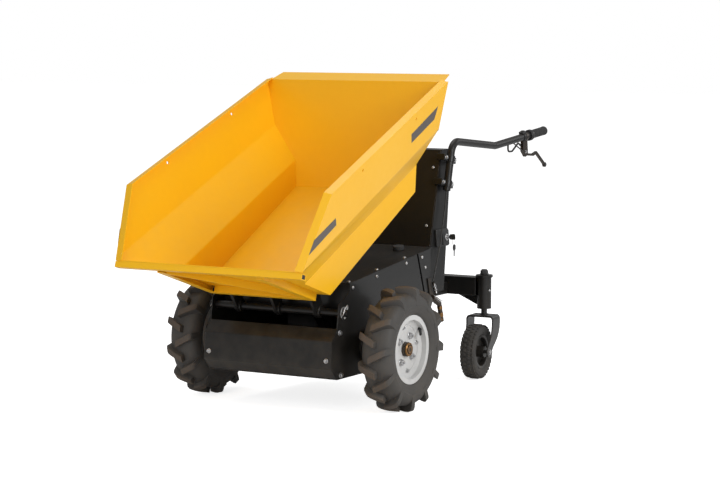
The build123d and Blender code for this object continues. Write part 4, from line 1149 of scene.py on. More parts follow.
# --- chassis
@dataclass
class Chassis:
    """The chassis box, the tipping shaft with its clips, and the bolts and screws on its plates, cover and deck.

    Attributes:
        half: half width of the box over its side plates.
        deck_angle: rise of the deck to the rear.
        side_bolts: station and height of the bolts on each side plate.
        tail_bolts: station and height of the small screws on each tail plate.
        small_bolts: station and height of the small screws on each side plate.
        cover_bolts: station, side distance and height of the front cover's bolts.
        deck_screws: station and side distance of the deck's screws.
        deck_front: station and height of the deck's front edge.
        shaft_station: station of the tipping shaft.
        clip_out: distance of the spring clip from the side plate.
    """

    half: float = 0.250
    deck_angle: float = radians(7.0)
    side_bolts: tuple[Pair, ...] = ((0.181, 0.273), (0.176, 0.134))
    tail_bolts: tuple[Pair, ...] = ((-0.373, 0.472), (-0.397, 0.435), (-0.417, 0.386))
    small_bolts: tuple[Pair, ...] = ((0.096, 0.414), (-0.262, 0.462), (-0.060, 0.436))
    cover_bolts: tuple[float, float, float] = (0.2335, 0.230, 0.186)
    deck_screws: tuple[Pair, ...] = ((0.093, 0.232), (-0.280, 0.232), (-0.090, 0.232))
    deck_front: Pair = (0.116, 0.430)
    shaft_station: float = 0.157
    clip_out: float = 0.0095

    def build(self) -> None:
        """Build and dress the chassis's pieces."""
        for node in ("left_side_plate", "right_side_plate", "tail_plates", "floor_pan", "rear_wall", "deck"):
            remade(node, CHASSIS_PAINT, Body.CHASSIS, 0.0010)
        remade("front_cover", CHASSIS_PAINT, Body.CHASSIS, 0.0010, 0.004)
        remade("rest_pads", GRIP_RUBBER, Body.CHASSIS, 0.0030, segments=3)
        remade("battery", CASE_PLASTIC, Body.CHASSIS, 0.0060, segments=3)
        remade("drive_unit", DARK_STEEL, Body.CHASSIS, 0.0080, segments=3)
        remade("axle_housings", CHASSIS_PAINT, Body.CHASSIS, 0.0012)
        remade("tipping_shaft", CHASSIS_PAINT, Body.CHASSIS, 0.0016)
        self.fixings()
        self.shaft_clips()

    def fixings(self) -> None:
        """Fit the bolts and screws on the side plates, the tail plates, the cover and the deck."""
        large, small, front, top = [], [], [], []
        rise = Vector((sin(self.deck_angle), 0, cos(self.deck_angle)))
        for side in Side:
            out = Vector((0, side.value, 0))
            wall = side.value * self.half
            large += [seat(at_station(x, z, wall), out, x * 40) for x, z in self.side_bolts]
            small += [seat(at_station(x, z, wall), out, x * 50) for x, z in (*self.tail_bolts, *self.small_bolts)]
            station, y, height = self.cover_bolts
            front.append(seat(at_station(station, height, side.value * y), Vector((0.997, 0, 0.078)), y))
            for x, y in self.deck_screws:
                height = self.deck_front[1] + (self.deck_front[0] - x) * sin(self.deck_angle) / cos(self.deck_angle)
                top.append(seat(at_station(x, height, side.value * y), rise))
        heads = [
            Bench.copies(HexBolt().made("side_bolt"), large, "side_bolts"),
            Bench.copies(HexBolt(0.0128, 0.0050, 0.0082).made("cover_bolt"), front, "cover_bolts"),
        ]
        dressed(Bench.joined(heads, "chassis_bolts"), ZINC, Body.CHASSIS)
        screws = [
            Bench.copies(DomeScrew().made("plate_screw"), small, "plate_screws"),
            Bench.copies(DomeScrew(0.0062).made("deck_screw"), top, "deck_screws"),
        ]
        dressed(Bench.joined(screws, "chassis_screws"), ZINC, Body.CHASSIS)

    def shaft_clips(self) -> None:
        """Fit a washer and a spring clip on each end of the tipping shaft."""
        pieces = []
        for side in Side:
            way = side.value
            collar = at_station(self.shaft_station, TIP_PIVOT.z, way * self.half)
            rings = [(0.0127, 0.0), (0.0205, 0.0), (0.0212, 0.0008), (0.0212, 0.0024), (0.0205, 0.0032),
                     (0.0127, 0.0032), (0.0127, 0.0)]
            pieces.append(Bench.turned(f"{side.word}_shaft_washer", rings, seat(collar, Vector((0, way, 0))), 36))
            across = at_station(self.shaft_station, TIP_PIVOT.z, way * (self.half + self.clip_out))
            shape = ((-0.019, 0.0), (0.006, 0.0), (0.022, 0.001), (0.027, 0.007), (0.021, 0.012), (0.013, 0.010),
                     (0.0155, 0.0165), (0.004, 0.0175), (-0.010, 0.0145), (-0.020, 0.0185))
            line = [across + Vector((-u * 0.55 + v * 0.6, 0.0, u * 0.84 + v * 0.55)) for u, v in shape]
            pieces.append(Bench.wire(f"{side.word}_spring_clip", line, 0.0015))
        dressed(Bench.joined(pieces, "shaft_washers_and_clips"), ZINC, Body.CHASSIS)


@dataclass
class TippingActuator:
    """The electric actuator under the hopper, its foot and its dust seal.

    Attributes:
        seal_radius: outer radius of the seal's lip.
        seal_length: length of the seal.
        rod_radius: radius of the seal's bore.
        tube_reach: distance of the tube's end from the foot's pivot.
    """

    seal_radius: float = 0.0165
    seal_length: float = 0.012
    rod_radius: float = 0.0128
    tube_reach: float = 0.236

    def build(self) -> None:
        """Build and dress the actuator's pieces."""
        remade("actuator_body", CHASSIS_PAINT, Body.ACTUATOR_BODY, 0.0020, segments=3)
        remade("actuator_rod", ZINC, Body.ACTUATOR_ROD, 0.0008)
        remade("actuator_foot", CHASSIS_PAINT, Body.CHASSIS, 0.0010)
        self.seal()

    def seal(self) -> None:
        """Fit the wiper seal where the rod leaves the tube."""
        along = joint_way("actuator_stroke")
        end = joint_place("actuator_swing") + along * self.tube_reach
        rings = [(self.rod_radius, -0.001), (self.seal_radius + 0.004, -0.001),
                 (self.seal_radius + 0.003, self.seal_length * 0.4), (self.seal_radius, self.seal_length * 0.6),
                 (self.seal_radius - 0.001, self.seal_length), (self.rod_radius, self.seal_length),
                 (self.rod_radius, -0.001)]
        piece = Bench.turned("actuator_wiper_seal", rings, seat(end, along), 36)
        dressed(piece, HOSE_RUBBER, Body.ACTUATOR_BODY)


# --- column
@dataclass
class ControlColumn:
    """The control column's folded casing, its sides, the key switch and the spare key.

    Attributes:
        front: station and height of the casing's front foot and front top.
        half: half width at the foot and at the top.
        screw_heights: heights of the casing's screws.
        screw_inset: distance of the screws from the casing's edge.
        key: station and height of the key.
        switch: station and height of the middle of the switch plate.
        ring_radius: radius of the key ring.
    """

    front: tuple[Pair, Pair] = ((-0.402, 0.340), (-0.595, 0.833))
    half: Pair = (0.246, 0.205)
    screw_heights: tuple[float, ...] = (0.770, 0.570, 0.400)
    screw_inset: float = 0.026
    key: Pair = (-0.562, 0.525)
    switch: Pair = (-0.543, 0.525)
    ring_radius: float = 0.0105

    def build(self) -> None:
        """Build and dress the column's pieces."""
        remade("column_casing", CHASSIS_PAINT, Body.CHASSIS, 0.0022, segments=3)
        for side in Side:
            remade(f"column_{side.word}_side", CHASSIS_PAINT, Body.CHASSIS, 0.0009)
        self.screws()
        self.key_switch()
        self.spare_key()

    def side_at(self, height: float) -> float:
        """Return the column's half width at a height."""
        (_, low), (_, top) = self.front
        return self.half[0] + (self.half[1] - self.half[0]) * (height - low) / (top - low)

    def screws(self) -> None:
        """Fit the casing's screws on its front and along its sides."""
        (foot, low), (head, top) = self.front
        out = Vector((top - low, 0, foot - head)).normalized()
        places = []
        for side in Side:
            for height in self.screw_heights:
                station = foot + (head - foot) * (height - low) / (top - low)
                y = side.value * (self.side_at(height) - self.screw_inset)
                places.append(seat(at_station(station, height, y), out))
        piece = Bench.copies(DomeScrew(0.0052, 0.0028).made("casing_screw"), places, "column_screws")
        dressed(piece, ZINC, Body.CHASSIS)

    def key_switch(self) -> None:
        """Build the two-part switch plate, the lock barrel and the key."""
        wall = self.side_at(self.key[1])
        lean = (self.half[0] - self.half[1]) / (self.front[1][1] - self.front[0][1])
        out = Vector((0, 1, lean)).normalized()
        up = Vector((0, -lean, 1)).normalized()
        middle = at_station(*self.switch, wall)
        parts = []
        for name, rear, ahead, foot, head, thick in (("plate", -0.043, 0.043, -0.031, 0.031, 0.0085),
                                                     ("housing", -0.040, 0.004, -0.027, 0.027, 0.0130)):
            corners = [middle + Vector((x, 0, 0)) + up * z
                       for x, z in ((rear, foot), (ahead, foot), (ahead, head), (rear, head))]
            parts.append(Bench.plate(f"key_{name}", corners, out * thick, 0.0028, 3))
        barrel = at_station(*self.key, wall) + out * 0.0125
        rings = [(0.0, 0.0), (0.0115, 0.0), (0.0115, 0.0030), (0.0100, 0.0042), (0.0080, 0.0045),
                 (0.0078, 0.0105), (0.0068, 0.0112), (0.0, 0.0112)]
        lock = Bench.turned("lock_barrel", rings, seat(barrel, out), 40)
        dressed(Bench.joined(parts, "key_switch_plate"), BLACK_PLASTIC, Body.CHASSIS, ("key_switch",))
        dressed(lock, ZINC, Body.CHASSIS)
        root = barrel + out * 0.0095
        outline = [root + up * z + out * y for y, z in (
            (0.0, -0.0030), (0.0035, -0.0032), (0.0060, -0.0095), (0.0230, -0.0105), (0.0262, -0.0070),
            (0.0265, 0.0070), (0.0230, 0.0105), (0.0060, 0.0095), (0.0035, 0.0032), (0.0, 0.0030))]
        thick = Vector((0.0028, 0, 0))
        head = Bench.plate("key_head", [point - thick / 2 for point in outline], thick, 0.0009)
        dressed(head, BLACK_PLASTIC, Body.CHASSIS)

    def spare_key(self) -> None:
        """Hang the second key from a ring through the key's head."""
        wall = self.side_at(self.key[1])
        eye = at_station(self.key[0], self.key[1] - 0.0065, wall + 0.0410)
        ring = [eye + Vector((self.ring_radius * sin(turn), 0.0015, self.ring_radius * cos(turn) - 0.0085))
                for turn in (index * tau / 14 for index in range(14))]
        loop = Bench.wire("key_ring", [*ring, ring[0]], 0.0008, False)
        dressed(loop, ZINC, Body.CHASSIS)
        top = eye + Vector((-0.002, 0.001, -0.0170))
        outline = [top + Vector((x, 0, z)) for x, z in (
            (-0.0035, 0.0), (0.0035, 0.0), (0.0095, -0.0040), (0.0100, -0.0165), (0.0060, -0.0205), (0.0028, -0.0215),
            (0.0028, -0.0400), (0.0010, -0.0425), (-0.0022, -0.0405), (-0.0028, -0.0215), (-0.0060, -0.0205),
            (-0.0100, -0.0165), (-0.0095, -0.0040))]
        blade = Bench.plate("spare_key", outline, Vector((0, 0.0022, 0)), 0.0006)
        dressed(blade, BLACK_PLASTIC, Body.CHASSIS)


# --- handlebars
@dataclass
class Handlebars:
    """The two bent bars with their clamps, ribbed grips, collars, thumb switch and brake lever.

    Attributes:
        bar_y: side distance of the bars.
        dip: station and height of the bars' lowest point behind the column.
        tip: station and height of the bars' ends.
        bar_radius: radius of what slides onto a bar, inside.
        grip_radius: radius of a grip.
        grip_length: length of a grip.
        ribs: how many ribs run round a grip.
        clamp_heights: heights of the clamps on the column.
        clamp_line: station and height of two points of the bars' run along the column.
        lever_end: station and height of the ball on the brake lever.
        lever_pivot: station and height of the brake lever's bolt.
    """

    bar_y: float = 0.236
    dip: Pair = (-0.949, 0.831)
    tip: Pair = (-1.352, 0.869)
    bar_radius: float = 0.01355
    grip_radius: float = 0.0170
    grip_length: float = 0.115
    ribs: int = 15
    clamp_heights: Pair = (0.715, 0.801)
    clamp_line: tuple[Pair, Pair] = ((-0.576, 0.690), (-0.618, 0.863))
    lever_end: Pair = (-1.363, 0.739)
    lever_pivot: Pair = (-1.190, 0.797)

    def build(self) -> None:
        """Build and dress the handlebars' pieces."""
        for side in Side:
            piece = Bench.refined(f"{side.word}_handlebar", f"{side.word}_handlebar_finished", 0.0)
            dressed(piece, TUBE_PAINT, Body.CHASSIS, (f"{side.word}_handlebar",))
        remade("handle_clamps", CHASSIS_PAINT, Body.CHASSIS, 0.0014, segments=3)
        self.clamp_bolts()
        self.grips()
        self.collars()
        self.thumb_switch()
        remade("brake_lever", DARK_STEEL, Body.CHASSIS, 0.0030, segments=3)
        self.lever_knob()
        remade("switch_lead", HOSE_RUBBER, Body.CHASSIS, 0.0)
        remade("brake_cable_upper", HOSE_RUBBER, Body.CHASSIS, 0.0)

    def bar_way(self) -> Vector:
        """Return the direction of the bars' rear run, to the rear."""
        return (at_station(*self.tip) - at_station(*self.dip)).normalized()

    def bar_end(self, side: Side) -> Vector:
        """Return the end of a bar."""
        return at_station(*self.tip, side.value * self.bar_y)

    def grips(self) -> None:
        """Turn the ribbed grips with their flared ends."""
        outer, core = self.grip_radius, self.bar_radius
        length = self.grip_length
        rings: list[Pair] = [(core, 0.0), (outer, 0.0), (outer, 0.0035), (outer - 0.0012, 0.0050)]
        pitch = (length - 0.020) / self.ribs
        for rib in range(self.ribs):
            foot = 0.0070 + rib * pitch
            rings += [(outer - 0.0020, foot), (outer - 0.0006, foot + pitch * 0.30),
                      (outer - 0.0006, foot + pitch * 0.62), (outer - 0.0020, foot + pitch * 0.88)]
        rings += [(outer - 0.0014, length - 0.0105), (outer, length - 0.0090), (outer, length - 0.0028),
                  (outer - 0.0022, length), (0.0, length - 0.0004), (0.0, length - 0.0044), (core, length - 0.0044),
                  (core, 0.0)]
        for side in Side:
            base = self.bar_end(side) - self.bar_way() * (length - 0.005)
            piece = Bench.turned(f"{side.word}_grip", rings, seat(base, self.bar_way()), 48)
            nodes = ("grips",) if side is Side.LEFT else ()
            dressed(piece, GRIP_RUBBER, Body.CHASSIS, nodes)

    def collars(self) -> None:
        """Turn the throttle collars ahead of the grips."""
        core = self.bar_radius
        rings = [(core, 0.0), (0.0185, 0.0), (0.0205, 0.0015), (0.0210, 0.0040), (0.0196, 0.0055), (0.0196, 0.0088),
                 (0.0210, 0.0103), (0.0210, 0.0170), (0.0202, 0.0200), (0.0178, 0.0220), (core, 0.0220), (core, 0.0)]
        made = []
        for side in Side:
            base = self.bar_end(side) - self.bar_way() * (self.grip_length - 0.005 + 0.023)
            made.append(Bench.turned(f"{side.word}_collar", rings, seat(base, self.bar_way()), 48))
        dressed(Bench.joined(made, "throttle_collars_turned"), BLACK_PLASTIC, Body.CHASSIS,
                ("throttle_collars",))

    def thumb_switch(self) -> None:
        """Build the switch pod on the left bar with its band and rocker."""
        run = self.bar_way()
        up = run.cross(Vector((0, 1, 0))).normalized()
        up = up if up.z > 0 else -up
        middle = self.bar_end(Side.LEFT) + run * (-0.178)
        base = middle + up * 0.0125
        corners = [base + run * x + Vector((0, y, 0)) for x, y in
                   ((-0.0130, -0.0100), (0.0130, -0.0100), (0.0130, 0.0100), (-0.0130, 0.0100))]
        pod = Bench.plate("thumb_switch_pod", corners, up * 0.0095, 0.0025, 3)
        rocker = [base + up * 0.0088 + run * x + Vector((0, y, 0)) for x, y in
                  ((-0.0075, -0.0060), (0.0085, -0.0060), (0.0085, 0.0060), (-0.0075, 0.0060))]
        button = Bench.plate("thumb_switch_rocker", rocker, up * 0.0036 + run * 0.0012, 0.0012, 2)
        rings = [(self.bar_radius, -0.0075), (0.0158, -0.0075), (0.0162, -0.0068), (0.0162, 0.0068),
                 (0.0158, 0.0075), (self.bar_radius, 0.0075), (self.bar_radius, -0.0075)]
        band = Bench.turned("thumb_switch_band", rings, seat(middle, run), 48)
        dressed(Bench.joined([pod, button, band], "thumb_switch"), BLACK_PLASTIC, Body.CHASSIS)

    def clamp_bolts(self) -> None:
        """Fit two bolts on each handlebar clamp, on the clamp's outer ends."""
        foot, bend = (at_station(*end) for end in self.clamp_line)
        rise = (bend - foot).normalized()
        ahead = Vector((rise.z, 0, -rise.x))
        places = []
        for side in Side:
            for height in self.clamp_heights:
                middle = foot + (bend - foot) * (height - foot.z) / (bend.z - foot.z)
                for way in (-1, 1):
                    spot = middle + ahead * way * 0.031
                    places.append(seat(Vector((spot.x, side.value * (self.bar_y + 0.0002), spot.z)),
                                       Vector((0, side.value, 0)), height))
        bolt = HexBolt(0.0112, 0.0042, 0.0068, 0.0012).made("clamp_bolt")
        dressed(Bench.copies(bolt, places, "clamp_bolts"), ZINC, Body.CHASSIS)

    def lever_knob(self) -> None:
        """Turn the ball on the brake lever's end and the lever's pivot bolt."""
        centre = at_station(*self.lever_end, self.bar_y)
        radius = 0.0088
        arc = [(radius * sin(pi * step / 12), -radius * cos(pi * step / 12)) for step in range(1, 12)]
        ball = Bench.turned("brake_lever_ball", [(0.0, -radius), *arc, (0.0, radius)], Matrix.Translation(centre), 32)
        dressed(ball, BLACK_PLASTIC, Body.CHASSIS)
        pivot = seat(at_station(*self.lever_pivot, self.bar_y + 0.006), Vector((0, 1, 0)))
        bolt = Bench.copies(HexBolt(0.0105, 0.0040, 0.0062, 0.0012).made("pivot_bolt"), [pivot], "brake_lever_bolt")
        dressed(bolt, ZINC, Body.CHASSIS)


# --- brake gear
@dataclass
class BrakeGear:
    """The brake arm behind the left side plate with its adjuster, spring and hose fitting.

    Attributes:
        y: side distance of the brake gear.
        thread: station and height of the adjuster's two ends.
        hose_end: station and height of the brass fitting's two ends.
        spring: station and height of the return spring's two ends.
        spring_radius: radius of the spring's coil.
        spring_turns: turns of the coil.
    """

    y: float = 0.256
    thread: tuple[Pair, Pair] = ((-0.444, 0.374), (-0.461, 0.338))
    hose_end: tuple[Pair, Pair] = ((-0.4895, 0.290), (-0.5035, 0.238))
    spring: tuple[Pair, Pair] = ((-0.432, 0.326), (-0.466, 0.309))
    spring_radius: float = 0.0052
    spring_turns: int = 7

    def build(self) -> None:
        """Build and dress the brake gear."""
        remade("brake_cable_lower", HOSE_RUBBER, Body.CHASSIS, 0.0)
        remade("brake_unit", DARK_STEEL, Body.CHASSIS, 0.0012)
        self.adjuster()
        self.fitting()
        self.return_spring()

    def adjuster(self) -> None:
        """Turn the cable's threaded adjuster with its two lock nuts."""
        start, end = (at_station(*spot, self.y + 0.002) for spot in self.thread)
        way = (end - start).normalized()
        length = (end - start).length
        rings: list[Pair] = [(0.0, 0.0), (0.0042, 0.0)]
        for thread in range(10):
            foot = 0.001 + thread * (length - 0.002) / 10
            rings += [(0.0036, foot), (0.0042, foot + 0.0014)]
        rings += [(0.0036, length), (0.0, length)]
        thread = Bench.turned("adjuster_thread", rings, seat(start, way), 20)
        nut = HexBolt(0.0130, 0.0040, 0.0064, 0.0010).made("adjuster_nut")
        nuts = Bench.copies(nut, [seat(start + way * 0.008, way), seat(start + way * 0.022, way)], "adjuster_nuts")
        dressed(Bench.joined([thread, nuts], "brake_adjuster"), ZINC, Body.CHASSIS)

    def fitting(self) -> None:
        """Turn the brass fitting on the lower rod."""
        start, end = (at_station(*spot, self.y) for spot in self.hose_end)
        way = (end - start).normalized()
        length = (end - start).length
        rings = [(0.0, 0.0), (0.0088, 0.0), (0.0094, 0.0012), (0.0094, 0.010), (0.0080, 0.012), (0.0080, 0.024),
                 (0.0096, 0.026), (0.0096, 0.038), (0.0084, 0.040), (0.0084, length - 0.002), (0.0070, length),
                 (0.0, length)]
        dressed(Bench.turned("brass_fitting", rings, seat(start, way), 30), BRASS, Body.CHASSIS)

    def return_spring(self) -> None:
        """Wind the brake arm's return spring with its two long ends."""
        start, end = (at_station(*spot, self.y + 0.0165) for spot in self.spring)
        way = (end - start).normalized()
        across = Vector((0, 1, 0))
        lift = way.cross(across)
        per_turn = 10
        steps = self.spring_turns * per_turn
        coil = [start + way * ((end - start).length * step / steps) +
                (across * cos(tau * step / per_turn) + lift * sin(tau * step / per_turn)) * self.spring_radius
                for step in range(steps + 1)]
        tail = end + Vector((-0.030, 0.0, 0.006))
        wire = Bench.wire("brake_return_spring", [start + Vector((0.014, 0, 0.010)), *coil, tail], 0.0009)
        dressed(wire, ZINC, Body.CHASSIS)


# --- wheels
@dataclass
class DriveWheel:
    """A lugged pneumatic tyre on a deep silver rim, with its bolts, hub nut and valve.

    Attributes:
        side: the machine's side.
        carcass: side distance and radius of the tyre between its lugs, from the crown to the bead.
        wall_radius: radius at which the tyre is widest.
        bore: radius and half width of the tyre's bore.
        bead: radius and side distance of the bead's inner edge.
        tips: side distance and radius over the lugs.
        lugs: how many lugs each half has.
        lug_lead: how far a lug's inner end runs ahead of its outer end, round the tyre.
        lug_reach: side distance at which a lug has all its lead.
        lug_width: width of a lug at its top and at its root.
        lug_root: how deep the lug is set into the tyre.
        bolt_circle: radius of the wheel bolts.
        rim_bolt_circle: radius of the small bolts at the disc's edge.
        disc: outer face of the disc, from the wheel's middle.
        hub_out: distance of the hub ring and of the hub nut from the wheel's middle.
        valve_seat: radius of the valve's foot and its distance from the wheel's middle.
        valve_angle: turn of the valve above the axle's height.
    """

    side: Side
    carcass: tuple[Pair, ...] = (
        (0.0, 0.1880), (0.020, 0.1874), (0.034, 0.1845), (0.044, 0.1785), (0.0500, 0.1710), (0.0535, 0.1635),
        (0.0554, 0.1550), (0.0555, 0.1500), (0.0545, 0.1485), (0.0542, 0.1430), (0.0522, 0.1350), (0.0508, 0.1330),
        (0.0500, 0.1285), (0.0462, 0.1215), (0.0420, 0.1172), (0.0385, 0.1152))
    tips: tuple[Pair, ...] = ((-0.010, 0.2081), (0.010, 0.2084), (0.022, 0.2081), (0.034, 0.2070), (0.0440, 0.2045),
                              (0.0510, 0.1990), (0.0545, 0.1900), (0.0558, 0.1740))
    wall_radius: float = 0.155
    bore: Pair = (0.1018, 0.0374)
    bead: Pair = (0.1152, 0.0376)
    lugs: int = 12
    lug_lead: float = 0.032
    lug_reach: float = 0.052
    lug_width: Pair = (0.0225, 0.0285)
    lug_root: float = 0.010
    bolt_circle: float = 0.050
    rim_bolt_circle: float = 0.0745
    disc: float = 0.014
    hub_out: Pair = (0.0255, 0.0270)
    valve_seat: Pair = (0.0985, 0.0265)
    valve_angle: float = radians(37)

    @property
    def body(self) -> Body:
        """The moving group of this wheel."""
        return Body.LEFT_WHEEL if self.side is Side.LEFT else Body.RIGHT_WHEEL

    @property
    def hub(self) -> Vector:
        """The wheel's middle."""
        return Vector((AXLE.x, self.side.value * AXLE.y, AXLE.z))

    def build(self) -> None:
        """Build and dress the wheel's pieces."""
        self.tyre()
        remade(f"{self.side.word}_rim", RIM_PAINT, self.body, 0.0012)
        remade(f"{self.side.word}_axle", DARK_STEEL, self.body, 0.0014)
        self.rolled_flange()
        self.bolts()
        self.hub_nut()
        self.valve()

    def tyre(self) -> None:
        """Turn the tyre and set its staggered lugs on both halves."""
        half = [(radius, distance) for distance, radius in self.carcass]
        mirrored = [(radius, -distance) for radius, distance in reversed(half[1:])]
        inside = [self.bead, self.bore, (self.bore[0], -self.bore[1]), (self.bead[0], -self.bead[1])]
        rings = [*mirrored, *half, *inside, mirrored[0]]
        place = seat(self.hub, Vector((0, 1, 0)))
        carcass = Bench.turned(f"{self.side.word}_carcass", rings, place, 96)
        lugs = [self.lug_half(1, 0.0), self.lug_half(-1, pi / self.lugs)]
        whole = Bench.joined([carcass, *lugs], f"{self.side.word}_drive_tyre")
        dressed(whole, TYRE_RUBBER, self.body, (f"{self.side.word}_tyre",))

    def lug_half(self, half: int, turn: float) -> Piece:
        """Build one lug and copy it round one half of the tyre.

        Args:
            half: 1 for the half to the operator's left, -1 for the other.
            turn: turn of the ring about the axle, in radians.

        Returns:
            The joined ring of lugs.
        """
        rings = []
        inner, outer = self.tips[0][0], self.lug_reach
        for distance, radius in self.tips:
            share = (distance - inner) / (outer - inner)
            middle = (share - 0.5) * self.lug_lead
            root = self.carcass_radius(abs(distance)) - self.lug_root
            ring = []
            for width, reach in ((self.lug_width[1], root), (self.lug_width[0], radius)):
                ends = ((middle - width / 2), (middle + width / 2))
                ring.append([self.lug_point(half * distance, reach, end) for end in ends])
            rings.append([ring[0][0], ring[0][1], ring[1][1], ring[1][0]])
        template = Bench.lofted("lug", rings, 0.0016)
        places = [Matrix.Translation(self.hub) @ Matrix.Rotation(turn + index * tau / self.lugs, 4, "Y")
                  for index in range(self.lugs)]
        return Bench.copies(template, places, f"{self.side.word}_lugs")

    def lug_point(self, y: float, radius: float, run: float) -> Vector:
        """Return a lug's point at the tyre's foot, at a side distance, a radius and a run round the tread."""
        angle = run / AXLE.z
        return Vector((radius * sin(angle), y, -radius * cos(angle)))

    def carcass_radius(self, distance: float) -> float:
        """Return the tyre's radius between its lugs.

        Args:
            distance: the side distance.

        Returns:
            The radius.
        """
        for (near, high), (far, low) in pairwise(self.carcass):
            if near <= distance <= far:
                return high + (low - high) * (distance - near) / (far - near)
        return self.wall_radius

    def rolled_flange(self) -> None:
        """Turn the rolled lip of the rim's outer flange."""
        rings = [(0.1035, 0.0392), (0.1100, 0.0396), (0.1136, 0.0388), (0.1149, 0.0396), (0.1149, 0.0408),
                 (0.1120, 0.0412), (0.1060, 0.0411), (0.1035, 0.0405), (0.1035, 0.0392)]
        place = seat(self.hub, Vector((0, self.side.value, 0)))
        dressed(Bench.turned(f"{self.side.word}_rim_lip", rings, place, 96), RIM_PAINT, self.body)

    def face(self, radius: float, angle: float, out: float) -> Vector:
        """Return a point at a radius, an angle up from the front and a distance out of the wheel's middle."""
        return self.hub + Vector((radius * cos(angle), self.side.value * out, radius * sin(angle)))

    def bolts(self) -> None:
        """Fit the wheel bolts and the small bolts at the disc's edge."""
        out = Vector((0, self.side.value, 0))
        wheel, edge = ([seat(self.face(circle, radians(first + 90 * index), self.disc), out, index)
                        for index in range(4)]
                       for circle, first in ((self.bolt_circle, 35), (self.rim_bolt_circle, 80)))
        big = Bench.copies(HexBolt(0.0195, 0.0080, 0.0122, 0.0022, 0.006).made("wheel_bolt"), wheel, "wheel_bolts")
        small = Bench.copies(HexBolt(0.0120, 0.0048, 0.0078, 0.0014, 0.003).made("rim_bolt"), edge, "rim_bolts")
        dressed(Bench.joined([big, small], f"{self.side.word}_wheel_bolts"), ZINC, self.body)

    def hub_nut(self) -> None:
        """Turn the brass hub cap and its ring over the axle's end."""
        out = Vector((0, self.side.value, 0))
        base = self.hub + out * self.hub_out[0]
        rings = [(0.0, 0.0), (0.0215, 0.0), (0.0222, 0.0012), (0.0222, 0.0052), (0.0208, 0.0066), (0.0180, 0.0068),
                 (0.0172, 0.0052), (0.0152, 0.0050), (0.0, 0.0050)]
        ring = Bench.turned(f"{self.side.word}_hub_ring", rings, seat(base, out), 48)
        dressed(ring, BRASS, self.body)
        nut = HexBolt(0.0290, 0.0052, 0.0165, 0.0012, 0.0).made("hub_nut")
        nut = Bench.copies(nut, [seat(self.hub + out * self.hub_out[1], out, 0.3)], f"{self.side.word}_hub_nut")
        dressed(nut, BRASS, self.body)

    def valve(self) -> None:
        """Turn the black valve stem in the rim's well, with its cap."""
        angle = pi - self.valve_angle if self.side is Side.LEFT else self.valve_angle
        radius, distance = self.valve_seat
        root = self.face(radius, angle, distance)
        inwards = (self.face(0.0, 0.0, distance) - root).normalized()
        way = (inwards * 0.78 + Vector((0, self.side.value, 0)) * 0.42).normalized()
        rings = [(0.0, -0.003), (0.0078, -0.003), (0.0078, 0.0010), (0.0060, 0.0030), (0.0052, 0.0100),
                 (0.0046, 0.0190), (0.0040, 0.0200), (0.0046, 0.0210), (0.0048, 0.0290), (0.0040, 0.0310),
                 (0.0, 0.0312)]
        piece = Bench.turned(f"{self.side.word}_valve", rings, seat(root, way), 24)
        dressed(piece, HOSE_RUBBER, self.body)


